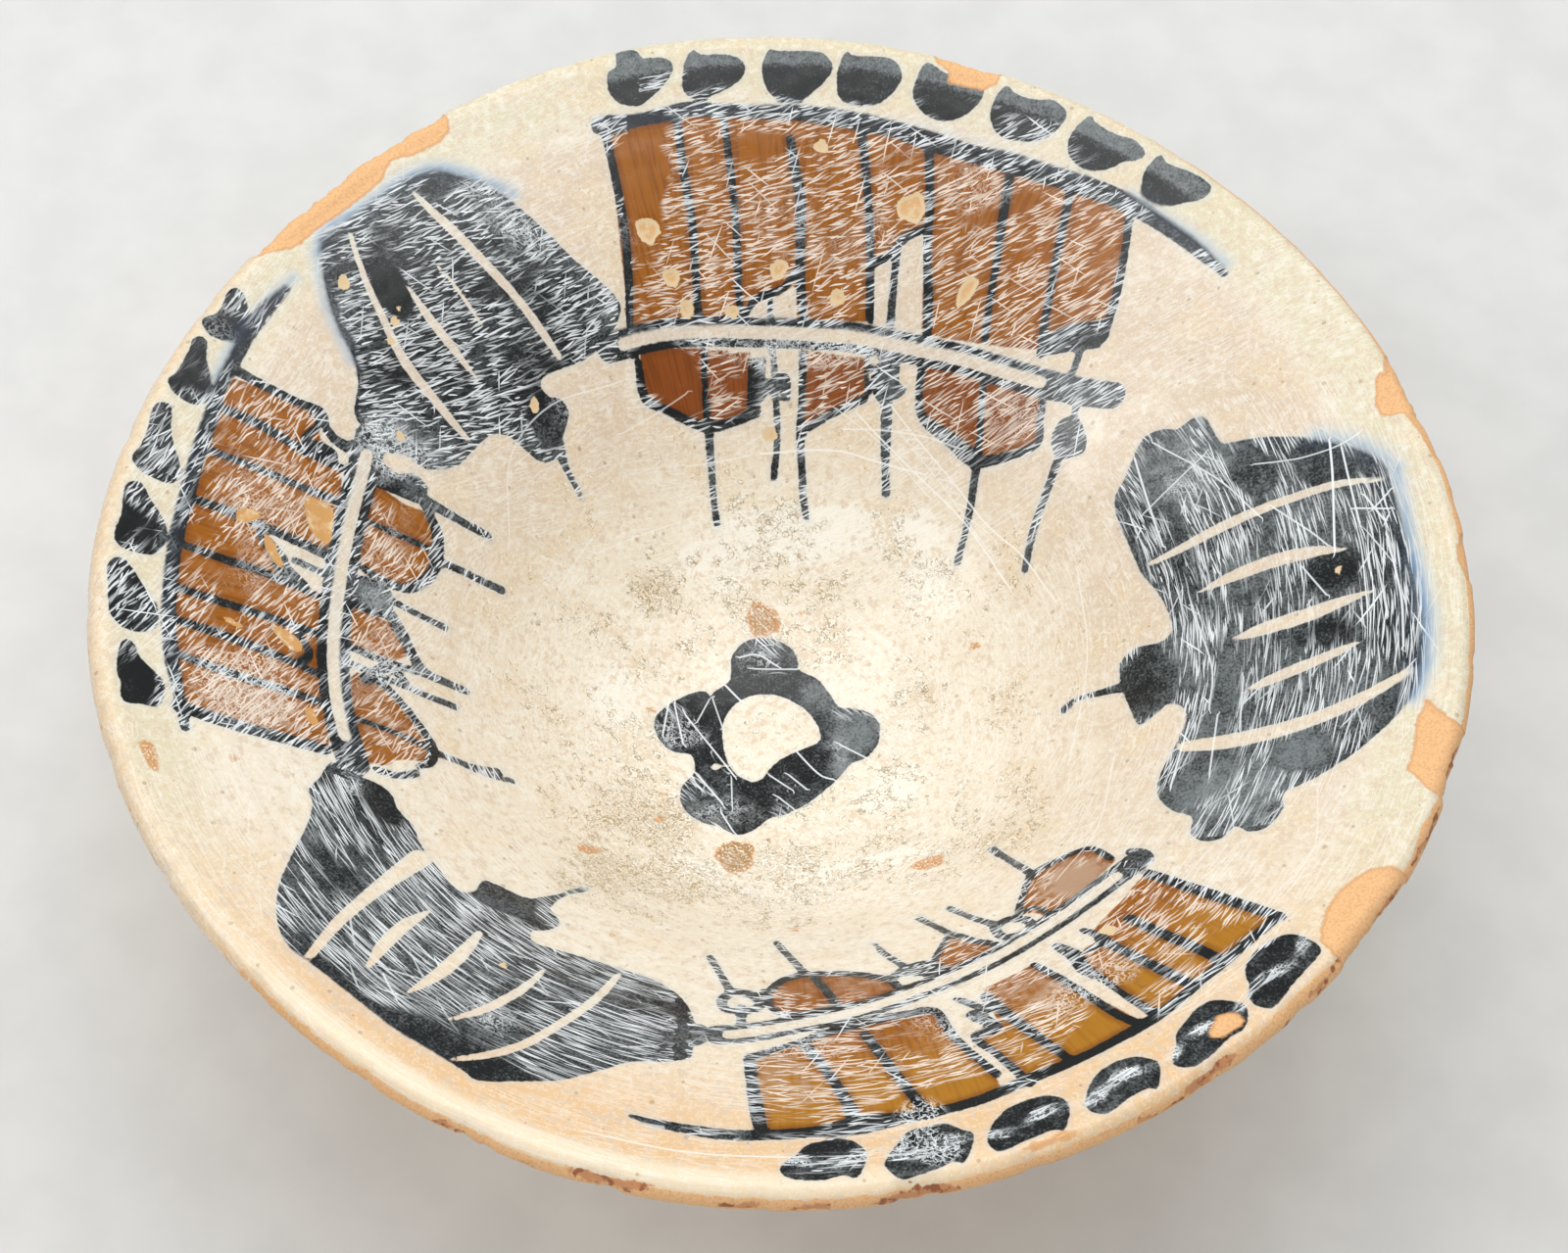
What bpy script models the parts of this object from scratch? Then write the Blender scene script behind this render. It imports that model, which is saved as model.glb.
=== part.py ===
"""A wide, everted pottery bowl on a low foot ring, thrown as one piece.

Metres, +Z up. The origin is on the bowl's axis, in the plane that its foot stands on.
+Y is the side that lies away from the viewer, and +X is to the right.
"""
import math

import bmesh
import bpy
from mathutils import Vector

MM = 0.001

# The lip: a half-round edge, with its outermost line at RIM_RADIUS
RIM_RADIUS = 130.0 * MM
LIP_THICKNESS = 6.4 * MM
RIM_ANGLE = math.radians(27.0)  # slope of the wall where it runs into the lip

# The inside, measured down from the crest of the lip
INSIDE_DEPTH = 70.0 * MM
SHOULDER_RADIUS = 70.0 * MM  # where the wall is steepest
SHOULDER_DEPTH = 35.4 * MM
SHOULDER_ANGLE = math.radians(41.0)

# Lengths of the tangents that shape the two curves of the inside
FLOOR_REACH = 38.0 * MM
LOWER_WALL_REACH = 20.0 * MM
UPPER_WALL_REACH = 22.0 * MM
RIM_REACH = 22.0 * MM

# Thickness of the clay
WALL_THICKNESS = 6.0 * MM  # at the shoulder
FLOOR_THICKNESS = 7.0 * MM

# The foot ring and the turned recess inside it
FOOT_RADIUS = 44.0 * MM
FOOT_HEIGHT = 12.0 * MM
FOOT_WIDTH = 7.0 * MM
FOOT_RECESS = 3.6 * MM
FOOT_CHAMFER = 0.8 * MM
FOOT_ANGLE = math.radians(46.0)  # slope of the outside as it leaves the foot
FOOT_REACH = 10.0 * MM
OUTER_LOWER_REACH = 10.0 * MM
OUTER_UPPER_REACH = 20.0 * MM
OUTER_RIM_REACH = 20.0 * MM

# The hand-thrown rim isn't a true circle: (waves round the rim, height, angle of a crest)
RIM_WAVES = (
    (3, 0.65 * MM, math.radians(-25.0)),
    (4, 0.76 * MM, math.radians(5.0)),
    (5, 0.31 * MM, math.radians(45.0)),
)

# Fineness of the faceted solid
SIDES = 108
LOWER_STEPS = 8
UPPER_STEPS = 8
LIP_STEPS = 8
OUTER_STEPS = 7

GLAZE_COLOUR = (0.74, 0.62, 0.44, 1.0)
GLAZE_ROUGHNESS = 0.3
MERGE_DISTANCE = 1e-6
SMOOTH_ANGLE = math.radians(35.0)

FLOOR_HEIGHT = FOOT_RECESS + FLOOR_THICKNESS
RIM_HEIGHT = FLOOR_HEIGHT + INSIDE_DEPTH
LIP_RADIUS = LIP_THICKNESS / 2
LIP_CENTRE = Vector((RIM_RADIUS - LIP_RADIUS, RIM_HEIGHT - LIP_RADIUS))
SHOULDER = Vector((SHOULDER_RADIUS, RIM_HEIGHT - SHOULDER_DEPTH))


def direction(angle):
    """Unit vector that climbs outwards at this slope, as (radius, height)."""
    return Vector((math.cos(angle), math.sin(angle)))


def normal(angle):
    """Unit vector out of the inside surface where it climbs at this slope."""
    return Vector((-math.sin(angle), math.cos(angle)))


def curve(start, start_handle, end_handle, end, steps):
    """Points of one cubic curve, without its first point."""
    points = []
    for step in range(1, steps + 1):
        t = step / steps
        s = 1 - t
        points.append(start * s**3 + start_handle * (3 * s * s * t)
                      + end_handle * (3 * s * t * t) + end * t**3)
    return points


def inside_points():
    """Floor centre to the start of the lip."""
    floor = Vector((0.0, FLOOR_HEIGHT))
    lip_start = LIP_CENTRE + normal(RIM_ANGLE) * LIP_RADIUS
    wall = direction(SHOULDER_ANGLE)
    points = [floor]
    points += curve(floor, floor + Vector((FLOOR_REACH, 0.0)),
                    SHOULDER - wall * LOWER_WALL_REACH, SHOULDER, LOWER_STEPS)
    points += curve(SHOULDER, SHOULDER + wall * UPPER_WALL_REACH,
                    lip_start - direction(RIM_ANGLE) * RIM_REACH, lip_start, UPPER_STEPS)
    return points


def lip_points():
    """Half a turn over the crest of the lip and round to its underside."""
    points = []
    for step in range(1, LIP_STEPS + 1):
        turn = RIM_ANGLE - math.pi * step / LIP_STEPS
        points.append(LIP_CENTRE + normal(turn) * LIP_RADIUS)
    return points


def outside_points():
    """Underside of the lip down to the top of the foot ring."""
    lip_end = LIP_CENTRE - normal(RIM_ANGLE) * LIP_RADIUS
    wall = direction(SHOULDER_ANGLE)
    outer_shoulder = SHOULDER - normal(SHOULDER_ANGLE) * WALL_THICKNESS
    foot_top = Vector((FOOT_RADIUS, FOOT_HEIGHT))
    points = curve(lip_end, lip_end - direction(RIM_ANGLE) * OUTER_RIM_REACH,
                   outer_shoulder + wall * OUTER_UPPER_REACH, outer_shoulder, OUTER_STEPS)
    points += curve(outer_shoulder, outer_shoulder - wall * OUTER_LOWER_REACH,
                    foot_top + direction(FOOT_ANGLE) * FOOT_REACH, foot_top, OUTER_STEPS)
    return points


def foot_points():
    """Down the foot ring, under it, and up into the recess as far as the axis."""
    inner = FOOT_RADIUS - FOOT_WIDTH
    return [
        Vector((FOOT_RADIUS, FOOT_CHAMFER)),
        Vector((FOOT_RADIUS - FOOT_CHAMFER, 0.0)),
        Vector((inner + FOOT_CHAMFER, 0.0)),
        Vector((inner, FOOT_CHAMFER)),
        Vector((inner, FOOT_RECESS - FOOT_CHAMFER)),
        Vector((inner - FOOT_CHAMFER, FOOT_RECESS)),
        Vector((0.0, FOOT_RECESS)),
    ]


def rim_offset(angle):
    """How far the rim stands outside its circle at this angle."""
    return sum(height * math.cos(count * (angle - crest)) for count, height, crest in RIM_WAVES)


def bend_to_rim(mesh):
    """Carries the rim's waves down the wall, fading out at the shoulder."""
    for vertex in mesh.verts:
        radius = vertex.co.xy.length
        share = (radius - SHOULDER_RADIUS) / (RIM_RADIUS - SHOULDER_RADIUS)
        share = min(max(share, 0.0), 1.0)
        if share > 0.0:
            angle = math.atan2(vertex.co.y, vertex.co.x)
            scale = 1 + share**2 * rim_offset(angle) / radius
            vertex.co.x *= scale
            vertex.co.y *= scale


def glaze():
    """Cream glaze as one plain material."""
    material = bpy.data.materials.new("glaze")
    material.use_nodes = True
    shader = material.node_tree.nodes["Principled BSDF"]
    shader.inputs["Base Color"].default_value = GLAZE_COLOUR
    shader.inputs["Roughness"].default_value = GLAZE_ROUGHNESS
    shader.inputs["Metallic"].default_value = 0.0
    return material


def turned_bowl():
    """Spins the profile round the axis, closes it and bends its rim."""
    mesh = bmesh.new()
    profile = inside_points() + lip_points() + outside_points() + foot_points()
    verts = [mesh.verts.new((point.x, 0.0, point.y)) for point in profile]
    edges = [mesh.edges.new(pair) for pair in zip(verts, verts[1:])]
    bmesh.ops.spin(mesh, geom=verts + edges, cent=(0, 0, 0), axis=(0, 0, 1),
                   angle=math.tau, steps=SIDES, use_merge=True)
    bmesh.ops.remove_doubles(mesh, verts=mesh.verts, dist=MERGE_DISTANCE)
    bend_to_rim(mesh)
    bmesh.ops.recalc_face_normals(mesh, faces=mesh.faces)
    bmesh.ops.triangulate(mesh, faces=mesh.faces)
    data = bpy.data.meshes.new("bowl")
    mesh.to_mesh(data)
    mesh.free()
    data.shade_smooth()
    data.set_sharp_from_angle(angle=SMOOTH_ANGLE)
    data.materials.append(glaze())
    bowl = bpy.data.objects.new("bowl", data)
    bpy.context.scene.collection.objects.link(bowl)
    return bowl


for old in list(bpy.data.objects):
    bpy.data.objects.remove(old, do_unlink=True)

turned_bowl()
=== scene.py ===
"""The painted bowl as it looks: glaze, brushwork, wear, flakes and chips, on a pale floor.

The frame is in metres with +Z up, and its origin is under the middle of the foot. The bowl's own
sizes are written in millimetres here and scaled once, when its mesh is made. +Y is the side away
from the viewer, and +X is to the right. The painting is laid out in plan: the inside as seen from
above, with the lip and the outside unrolled beyond the rim.
"""
import math

import bpy
import numpy as np
from mathutils import Matrix, Vector, noise


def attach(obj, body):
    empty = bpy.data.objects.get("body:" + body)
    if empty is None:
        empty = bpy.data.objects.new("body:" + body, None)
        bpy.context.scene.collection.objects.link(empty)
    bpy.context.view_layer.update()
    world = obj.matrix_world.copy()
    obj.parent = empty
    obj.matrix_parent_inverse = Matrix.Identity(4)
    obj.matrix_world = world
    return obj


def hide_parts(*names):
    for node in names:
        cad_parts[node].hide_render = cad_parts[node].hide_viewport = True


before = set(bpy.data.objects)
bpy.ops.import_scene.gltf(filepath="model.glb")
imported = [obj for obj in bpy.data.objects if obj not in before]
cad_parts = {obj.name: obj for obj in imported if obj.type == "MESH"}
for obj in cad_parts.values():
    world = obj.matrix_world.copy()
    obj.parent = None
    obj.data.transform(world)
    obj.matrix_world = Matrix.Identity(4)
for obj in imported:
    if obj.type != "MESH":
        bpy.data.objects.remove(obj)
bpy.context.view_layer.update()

MM = 0.001

# The section of the bowl, the same as the solid's
RIM_RADIUS = 130.0
LIP_RADIUS = 3.2
RIM_ANGLE = math.radians(27.0)
INSIDE_DEPTH = 70.0
SHOULDER_RADIUS = 70.0
SHOULDER_DEPTH = 35.4
SHOULDER_ANGLE = math.radians(41.0)
FLOOR_REACH = 38.0
LOWER_WALL_REACH = 20.0
UPPER_WALL_REACH = 22.0
RIM_REACH = 22.0
WALL_THICKNESS = 6.0
FLOOR_THICKNESS = 7.0
FOOT_RADIUS = 44.0
FOOT_HEIGHT = 12.0
FOOT_WIDTH = 7.0
FOOT_RECESS = 3.6
FOOT_CHAMFER = 0.8
FOOT_ANGLE = math.radians(46.0)
FOOT_REACH = 10.0
OUTER_LOWER_REACH = 10.0
OUTER_UPPER_REACH = 20.0
OUTER_RIM_REACH = 20.0
# How far from round the rim is: waves round it, height in mm, and the angle of a crest
RIM_WAVES = (
    (3, 0.65, math.radians(-25.0)),
    (4, 0.76, math.radians(5.0)),
    (5, 0.31, math.radians(45.0)),
)

FLOOR_HEIGHT = FOOT_RECESS + FLOOR_THICKNESS
RIM_HEIGHT = FLOOR_HEIGHT + INSIDE_DEPTH
LIP_CENTRE = np.array((RIM_RADIUS - LIP_RADIUS, RIM_HEIGHT - LIP_RADIUS))
SHOULDER = np.array((SHOULDER_RADIUS, RIM_HEIGHT - SHOULDER_DEPTH))

# Spacing of the fine mesh, and the fewest vertices in a ring
WELL_SPACING = 1.15
WALL_SPACING = 0.9
LIP_SPACING = 0.9
OUTSIDE_SPACING = 2.2
FEWEST_ROUND = 12

# Steps in each curve of the section and between two points of an outline, and points of an oval spot
CURVE_STEPS = 200
OUTLINE_STEPS = 5
SPOT_POINTS = 16

# Where the outside begins, and where the flat map is split, in mm unrolled from the axis
OUTSIDE_REACH = RIM_RADIUS + 3.0
MAP_SPLIT = RIM_RADIUS + LIP_RADIUS
# Middle and radius of the disc of the inside and of the outside on that map
INSIDE_DISC = (0.385, 0.375)
OUTSIDE_DISC = (0.795, 0.195)

# Distances are only kept this far from a shape
MARGIN = 4.0


def smooth(value, low, high):
    """0 below low, 1 above high and an eased step between."""
    t = np.clip((value - low) / (high - low), 0, 1)
    return t * t * (3 - 2 * t)


def between(value, low, full, fading, gone):
    """1 from full to fading, eased down to 0 at low and at gone."""
    return smooth(value, low, full) * (1 - smooth(value, fading, gone))


def direction(angle):
    """Unit vector that climbs outwards at this slope, as (radius, height)."""
    return np.array((math.cos(angle), math.sin(angle)))


def normal(angle):
    """Unit vector out of the inside surface where it climbs at this slope."""
    return np.array((-math.sin(angle), math.cos(angle)))


def curve(start, start_handle, end_handle, end):
    """Points of one cubic curve."""
    t = np.linspace(0, 1, CURVE_STEPS + 1)[:, None]
    s = 1 - t
    return start * s**3 + start_handle * (3 * s * s * t) + end_handle * (3 * s * t * t) + end * t**3


def evenly(points, spacing):
    """The line through the points, cut again into equal steps of about this length."""
    length = np.r_[0, np.cumsum(np.hypot(*np.diff(points, axis=0).T))]
    at = np.linspace(0, length[-1], max(1, round(length[-1] / spacing)) + 1)
    return np.c_[np.interp(at, length, points[:, 0]), np.interp(at, length, points[:, 1])]


def section():
    """The whole section from the floor over the lip to the foot: points, spacing and unrolled radius."""
    floor = np.array((0.0, FLOOR_HEIGHT))
    wall = direction(SHOULDER_ANGLE)
    rim = direction(RIM_ANGLE)
    lip_start = LIP_CENTRE + normal(RIM_ANGLE) * LIP_RADIUS
    lip_end = LIP_CENTRE - normal(RIM_ANGLE) * LIP_RADIUS
    outer_shoulder = SHOULDER - normal(SHOULDER_ANGLE) * WALL_THICKNESS
    foot_top = np.array((FOOT_RADIUS, FOOT_HEIGHT))
    inner = FOOT_RADIUS - FOOT_WIDTH
    foot = np.array((
        foot_top, (FOOT_RADIUS, FOOT_CHAMFER), (FOOT_RADIUS - FOOT_CHAMFER, 0), (inner + FOOT_CHAMFER, 0),
        (inner, FOOT_CHAMFER), (inner, FOOT_RECESS - FOOT_CHAMFER), (inner - FOOT_CHAMFER, FOOT_RECESS),
        (0, FOOT_RECESS)))
    turns = np.linspace(RIM_ANGLE, RIM_ANGLE - math.pi, round(math.pi * LIP_RADIUS / LIP_SPACING) + 1)
    lines = [
        (curve(floor, floor + (FLOOR_REACH, 0), SHOULDER - wall * LOWER_WALL_REACH, SHOULDER), WELL_SPACING),
        (curve(SHOULDER, SHOULDER + wall * UPPER_WALL_REACH, lip_start - rim * RIM_REACH, lip_start),
         WALL_SPACING),
        (np.array([LIP_CENTRE + normal(turn) * LIP_RADIUS for turn in turns]), LIP_SPACING),
        (curve(lip_end, lip_end - rim * OUTER_RIM_REACH, outer_shoulder + wall * OUTER_UPPER_REACH,
               outer_shoulder), OUTSIDE_SPACING),
        (curve(outer_shoulder, outer_shoulder - wall * OUTER_LOWER_REACH,
               foot_top + direction(FOOT_ANGLE) * FOOT_REACH, foot_top), OUTSIDE_SPACING),
    ]
    lines += [(foot[i:i + 2], OUTSIDE_SPACING) for i in range(len(foot) - 1)]
    points, spacings = [floor], [WELL_SPACING]
    for line, spacing in lines:
        part = evenly(line, spacing)[1:]
        points.extend(part)
        spacings.extend([spacing] * len(part))
    points = np.array(points)
    outermost = int(points[:, 0].argmax())
    beyond = np.cumsum(np.hypot(*np.diff(points[outermost:], axis=0).T))
    unrolled = np.r_[points[:outermost + 1, 0], points[outermost, 0] + beyond]
    return points, spacings, unrolled


def rim_offset(angle):
    """How far the rim stands outside its circle at this angle."""
    return sum(height * np.cos(count * (angle - crest)) for count, height, crest in RIM_WAVES)


def ring_faces(first, count, next_first, next_count):
    """Triangles between two rings of any number of points, or between a ring and a pole."""
    faces = []
    a = b = 0
    a_end = count if count > 1 else 0
    b_end = next_count if next_count > 1 else 0
    while a < a_end or b < b_end:
        here, there = first + a % count, next_first + b % next_count
        if b == b_end or (a < a_end and (a + 1) * next_count <= (b + 1) * count):
            a += 1
            faces.append((here, there, first + a % count))
        else:
            b += 1
            faces.append((here, there, next_first + b % next_count))
    return faces


def bowl_grid():
    """Vertices and faces of the fine bowl, with what the later steps need to know of each vertex."""
    points, spacings, unrolled = section()
    slope = np.gradient(points, axis=0)
    slope /= np.hypot(*slope.T)[:, None]
    counts = [1 if radius < 1e-6 else max(FEWEST_ROUND, round(math.tau * radius / spacing))
              for radius, spacing in zip(points[:, 0], spacings)]
    starts = np.r_[0, np.cumsum(counts)]
    row = np.repeat(np.arange(len(points)), counts)
    turn = np.concatenate([np.arange(count) / count for count in counts]) * math.tau
    radius, height = points[row].T
    share = np.clip((radius - SHOULDER_RADIUS) / (RIM_RADIUS - SHOULDER_RADIUS), 0, 1)
    bent = radius + share**2 * rim_offset(turn)
    ahead = np.c_[np.cos(turn), np.sin(turn)]
    faces = []
    for k in range(len(points) - 1):
        faces += ring_faces(starts[k], counts[k], starts[k + 1], counts[k + 1])
    along_r, along_z = slope[row].T
    return {
        "place": np.c_[ahead * bent[:, None], height],
        "normal": np.c_[ahead * -along_z[:, None], along_r],
        "plan": ahead * (bent - radius + unrolled[row])[:, None],
        "reach": unrolled[row], "turn": turn, "height": height,
        "outside": (row > points[:, 0].argmax()) & (unrolled[row] > OUTSIDE_REACH),
        "faces": np.array(faces),
    }


def polar(*places):
    """Points given as (degrees round the rim, millimetres from the axis)."""
    return [(r * math.cos(math.radians(a)), r * math.sin(math.radians(a))) for a, r in places]


def smooth_steps(before, here, after, beyond):
    """Points from here towards after, on the smooth line through all four (Catmull-Rom)."""
    return [0.5 * (2 * here + (after - before) * t + (2 * before - 5 * here + 4 * after - beyond) * t * t
                   + (3 * here - before - 3 * after + beyond) * t**3)
            for t in np.arange(OUTLINE_STEPS) / OUTLINE_STEPS]


def rounded(points):
    """Closed smooth outline through the points."""
    p = np.array(points, float)
    steps = smooth_steps(np.roll(p, 1, 0), p, np.roll(p, -1, 0), np.roll(p, -2, 0))
    return np.stack(steps, 1).reshape(-1, 2)


def along(points):
    """Open smooth line through the points, each (x, y) or (x, y, radius)."""
    p = np.array(points, float)
    p = np.vstack([2 * p[0] - p[1], p, 2 * p[-1] - p[-2]])
    steps = np.stack(smooth_steps(p[:-3], p[1:-2], p[2:-1], p[3:]), 1)
    return np.vstack([steps.reshape(-1, p.shape[1]), p[-2]])


def near(xy, shape, margin):
    """Which of the points lie within a margin of the box round a shape."""
    low, high = shape.min(0) - margin, shape.max(0) + margin
    return np.flatnonzero(((xy > low) & (xy < high)).all(1))


def from_edge(xy, a, b):
    """How far along an edge its point nearest to each place is, from 0 to 1, and the offset from there."""
    edge, rel = b - a, xy - a
    t = np.clip(rel @ edge / max(edge @ edge, 1e-9), 0, 1)
    return t, rel - t[:, None] * edge


def outline_distance(xy, outline):
    """Signed distance to a closed outline, negative inside."""
    best = np.full(len(xy), MARGIN**2)
    inside = np.zeros(len(xy), bool)
    for a, b in zip(outline, np.roll(outline, -1, 0)):
        t, offset = from_edge(xy, a, b)
        best = np.minimum(best, (offset**2).sum(1))
        if a[1] != b[1]:
            crosses = (a[1] > xy[:, 1]) != (b[1] > xy[:, 1])
            inside ^= crosses & (xy[:, 0] < a[0] + (b[0] - a[0]) * (xy[:, 1] - a[1]) / (b[1] - a[1]))
    return np.where(inside, -1, 1) * np.sqrt(best)


def stroke_distance(xy, line):
    """Signed distance to a brush stroke, whose third column is its radius."""
    best = np.full(len(xy), MARGIN)
    for a, b in zip(line, line[1:]):
        t, offset = from_edge(xy, a[:2], b[:2])
        gap = np.sqrt((offset**2).sum(1)) - (a[2] + t * (b[2] - a[2]))
        best = np.minimum(best, gap)
    return best


def layer(xy, shapes):
    """Signed distance to the nearest of several shapes."""
    field = np.full(len(xy), MARGIN)
    for shape in shapes:
        ids = near(xy, shape[:, :2], MARGIN)
        if len(ids):
            measure = stroke_distance if shape.shape[1] == 3 else outline_distance
            field[ids] = np.minimum(field[ids], measure(xy[ids], shape))
    return field


def brush(*points):
    """Brush stroke through points (x, y, radius)."""
    return along(points)


def stroke(points, radius):
    """Brush stroke of one width through points (x, y)."""
    line = along(points)
    return np.c_[line, np.full(len(line), radius)]


def blob(*points):
    """Rounded shape through the points."""
    return rounded(points)


def plate(*points):
    """Shape with straight sides and sharp corners."""
    return np.array(points, float)


def spot(x, y, across, up=None, turn=0.0):
    """Oval with an uneven edge; half sizes in mm and turn in degrees."""
    a = np.linspace(0, math.tau, SPOT_POINTS, endpoint=False)
    up = across if up is None else up
    uneven = 1 + 0.1 * np.sin(3 * a + x) + 0.07 * np.sin(5 * a + y)
    u, v = across * np.cos(a) * uneven, up * np.sin(a) * uneven
    c, s = math.cos(math.radians(turn)), math.sin(math.radians(turn))
    return np.stack([x + c * u - s * v, y + s * u + c * v], 1)


# The dabs round the rim, each as (degrees, millimetres from the axis)
RIM_DOTS = [blob(*polar(*places)) for places in (
    ((54.0, 121.2), (53.9, 123.9), (53.5, 125.4), (52.5, 124.6), (50.6, 125.5), (49.1, 126.0), (47.8, 125.7),
     (47.4, 124.1), (47.7, 122.3), (48.7, 120.3), (49.8, 118.2), (51.3, 117.0), (52.8, 117.1), (53.5, 118.7)),
    ((62.4, 121.6), (62.1, 123.7), (61.5, 126.1), (60.9, 125.2), (59.5, 124.7), (58.0, 124.8), (56.6, 125.4),
     (55.3, 124.6), (54.9, 123.6), (55.4, 122.0), (56.3, 120.9), (57.2, 118.5), (58.7, 116.7), (60.1, 116.3),
     (61.6, 117.4), (62.3, 119.4)),
    ((70.9, 121.9), (70.7, 124.1), (70.2, 125.7), (69.0, 124.7), (67.0, 124.8), (65.6, 126.0), (64.1, 125.1),
     (63.6, 123.7), (63.8, 121.6), (64.3, 119.4), (65.4, 117.4), (67.1, 116.4), (68.6, 116.1), (69.9, 117.0),
     (70.8, 119.4)),
    ((79.0, 119.8), (78.9, 123.2), (78.5, 126.0), (77.7, 126.2), (76.4, 125.1), (74.5, 125.2), (72.6, 124.8),
     (72.1, 122.8), (72.3, 121.0), (72.9, 118.8), (73.9, 117.1), (75.2, 116.0), (76.7, 116.1), (78.0, 117.3)),
    ((86.8, 122.1), (86.5, 124.8), (86.1, 126.3), (85.4, 125.7), (83.8, 125.8), (82.2, 126.1), (81.2, 125.4),
     (80.5, 123.7), (80.4, 122.0), (80.9, 119.7), (81.8, 117.7), (83.0, 116.4), (85.0, 116.2), (86.3, 117.2),
     (86.7, 119.2)),
    ((94.3, 122.6), (94.0, 124.8), (93.5, 126.2), (92.6, 125.9), (89.7, 126.0), (88.4, 125.7), (87.6, 124.4),
     (87.3, 122.5), (88.0, 120.2), (89.4, 117.5), (90.7, 115.8), (92.0, 115.7), (93.3, 117.2), (94.1, 119.6)),
    ((102.3, 121.5), (101.8, 124.8), (100.9, 126.9), (100.1, 125.9), (98.2, 125.6), (96.7, 124.9),
     (96.0, 123.3), (96.1, 121.4), (97.3, 119.4), (99.4, 117.8), (100.8, 117.1), (101.9, 118.0),
     (102.4, 119.6)),
    ((109.8, 122.1), (109.4, 124.9), (108.4, 126.1), (108.2, 128.6), (107.7, 129.6), (106.6, 129.6),
     (106.1, 128.4), (105.7, 126.6), (104.0, 126.2), (103.0, 124.7), (103.4, 122.5), (104.6, 120.3),
     (106.7, 117.9), (107.8, 117.9), (109.0, 118.8), (109.6, 120.4)),
    ((158.7, 122.6), (158.6, 124.9), (157.6, 126.8), (156.8, 125.3), (155.9, 124.8), (154.2, 125.7),
     (153.3, 125.2), (153.2, 123.6), (153.7, 122.0), (154.6, 120.2), (155.4, 118.4), (156.9, 118.4),
     (158.1, 120.2)),
    ((166.0, 121.8), (165.8, 124.1), (165.2, 125.8), (164.6, 126.2), (163.7, 125.4), (161.2, 125.4),
     (160.0, 126.0), (159.3, 124.6), (159.7, 123.2), (160.9, 122.2), (162.5, 119.7), (163.8, 118.4),
     (165.0, 118.4), (165.8, 119.9)),
    ((174.8, 120.0), (174.7, 123.1), (174.4, 125.2), (173.5, 126.9), (172.3, 126.1), (170.6, 125.8),
     (168.8, 126.3), (167.6, 126.2), (167.0, 124.2), (167.7, 123.0), (169.4, 122.0), (171.0, 120.3),
     (172.1, 118.8), (173.4, 118.1), (174.4, 118.6)),
    ((182.8, 122.4), (182.6, 125.2), (182.0, 126.5), (180.9, 126.7), (179.3, 126.1), (176.8, 126.6),
     (175.9, 125.7), (175.6, 124.3), (176.2, 122.9), (177.2, 121.3), (178.4, 119.2), (179.7, 117.8),
     (181.1, 117.9), (182.5, 119.6)),
    ((190.9, 121.3), (190.8, 123.7), (190.2, 125.4), (189.4, 126.5), (188.4, 126.8), (186.3, 127.0),
     (184.8, 127.3), (184.0, 126.6), (183.6, 124.9), (184.2, 123.4), (185.3, 121.8), (186.5, 120.2),
     (187.8, 118.6), (189.2, 118.1), (190.4, 119.1)),
    ((198.7, 120.5), (198.4, 122.8), (198.3, 125.4), (197.4, 126.1), (196.3, 125.7), (195.0, 126.1),
     (192.9, 125.3), (191.8, 124.2), (192.2, 122.6), (193.3, 122.0), (194.4, 120.5), (195.8, 118.5),
     (197.1, 118.4), (198.1, 119.2)),
    ((278.5, 120.9), (278.2, 123.6), (277.4, 126.3), (276.4, 125.5), (274.9, 126.3), (273.0, 126.1),
     (272.0, 125.4), (271.6, 123.9), (271.9, 122.3), (272.8, 120.8), (273.8, 118.5), (275.2, 117.6),
     (277.0, 117.5), (278.0, 118.9)),
    ((287.3, 121.0), (286.9, 123.1), (286.2, 125.4), (285.5, 126.5), (284.9, 125.8), (283.5, 126.6),
     (281.1, 127.4), (280.3, 126.6), (279.7, 124.3), (280.1, 122.5), (281.1, 120.0), (282.2, 117.6),
     (284.0, 117.2), (285.5, 117.4), (286.5, 119.3)),
    ((295.5, 121.0), (295.1, 123.2), (294.4, 125.1), (293.9, 126.2), (293.2, 125.2), (291.1, 125.5),
     (288.8, 126.2), (288.1, 124.8), (288.1, 122.9), (288.8, 120.8), (289.8, 118.9), (291.3, 117.5),
     (293.7, 117.5), (295.0, 118.8)),
    ((303.7, 121.3), (303.4, 123.3), (302.6, 125.5), (302.0, 126.4), (301.4, 125.4), (299.5, 125.5),
     (297.7, 126.3), (296.7, 125.0), (296.5, 123.2), (297.1, 121.2), (298.0, 119.3), (299.3, 117.8),
     (301.0, 117.4), (302.7, 118.5)),
    ((312.7, 122.3), (312.0, 124.6), (310.8, 126.0), (309.3, 125.7), (307.4, 126.3), (305.6, 126.3),
     (304.6, 124.8), (304.7, 123.0), (305.9, 120.9), (306.8, 118.9), (308.3, 117.8), (310.0, 117.0),
     (311.3, 117.6), (312.2, 119.7)),
    ((321.1, 121.2), (320.9, 124.4), (320.0, 125.6), (317.0, 125.7), (314.1, 126.5), (313.4, 125.6),
     (313.2, 123.9), (313.5, 121.8), (314.5, 120.2), (315.2, 118.2), (316.4, 116.6), (318.3, 116.2),
     (319.8, 117.1), (320.8, 118.8)),
)]

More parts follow.
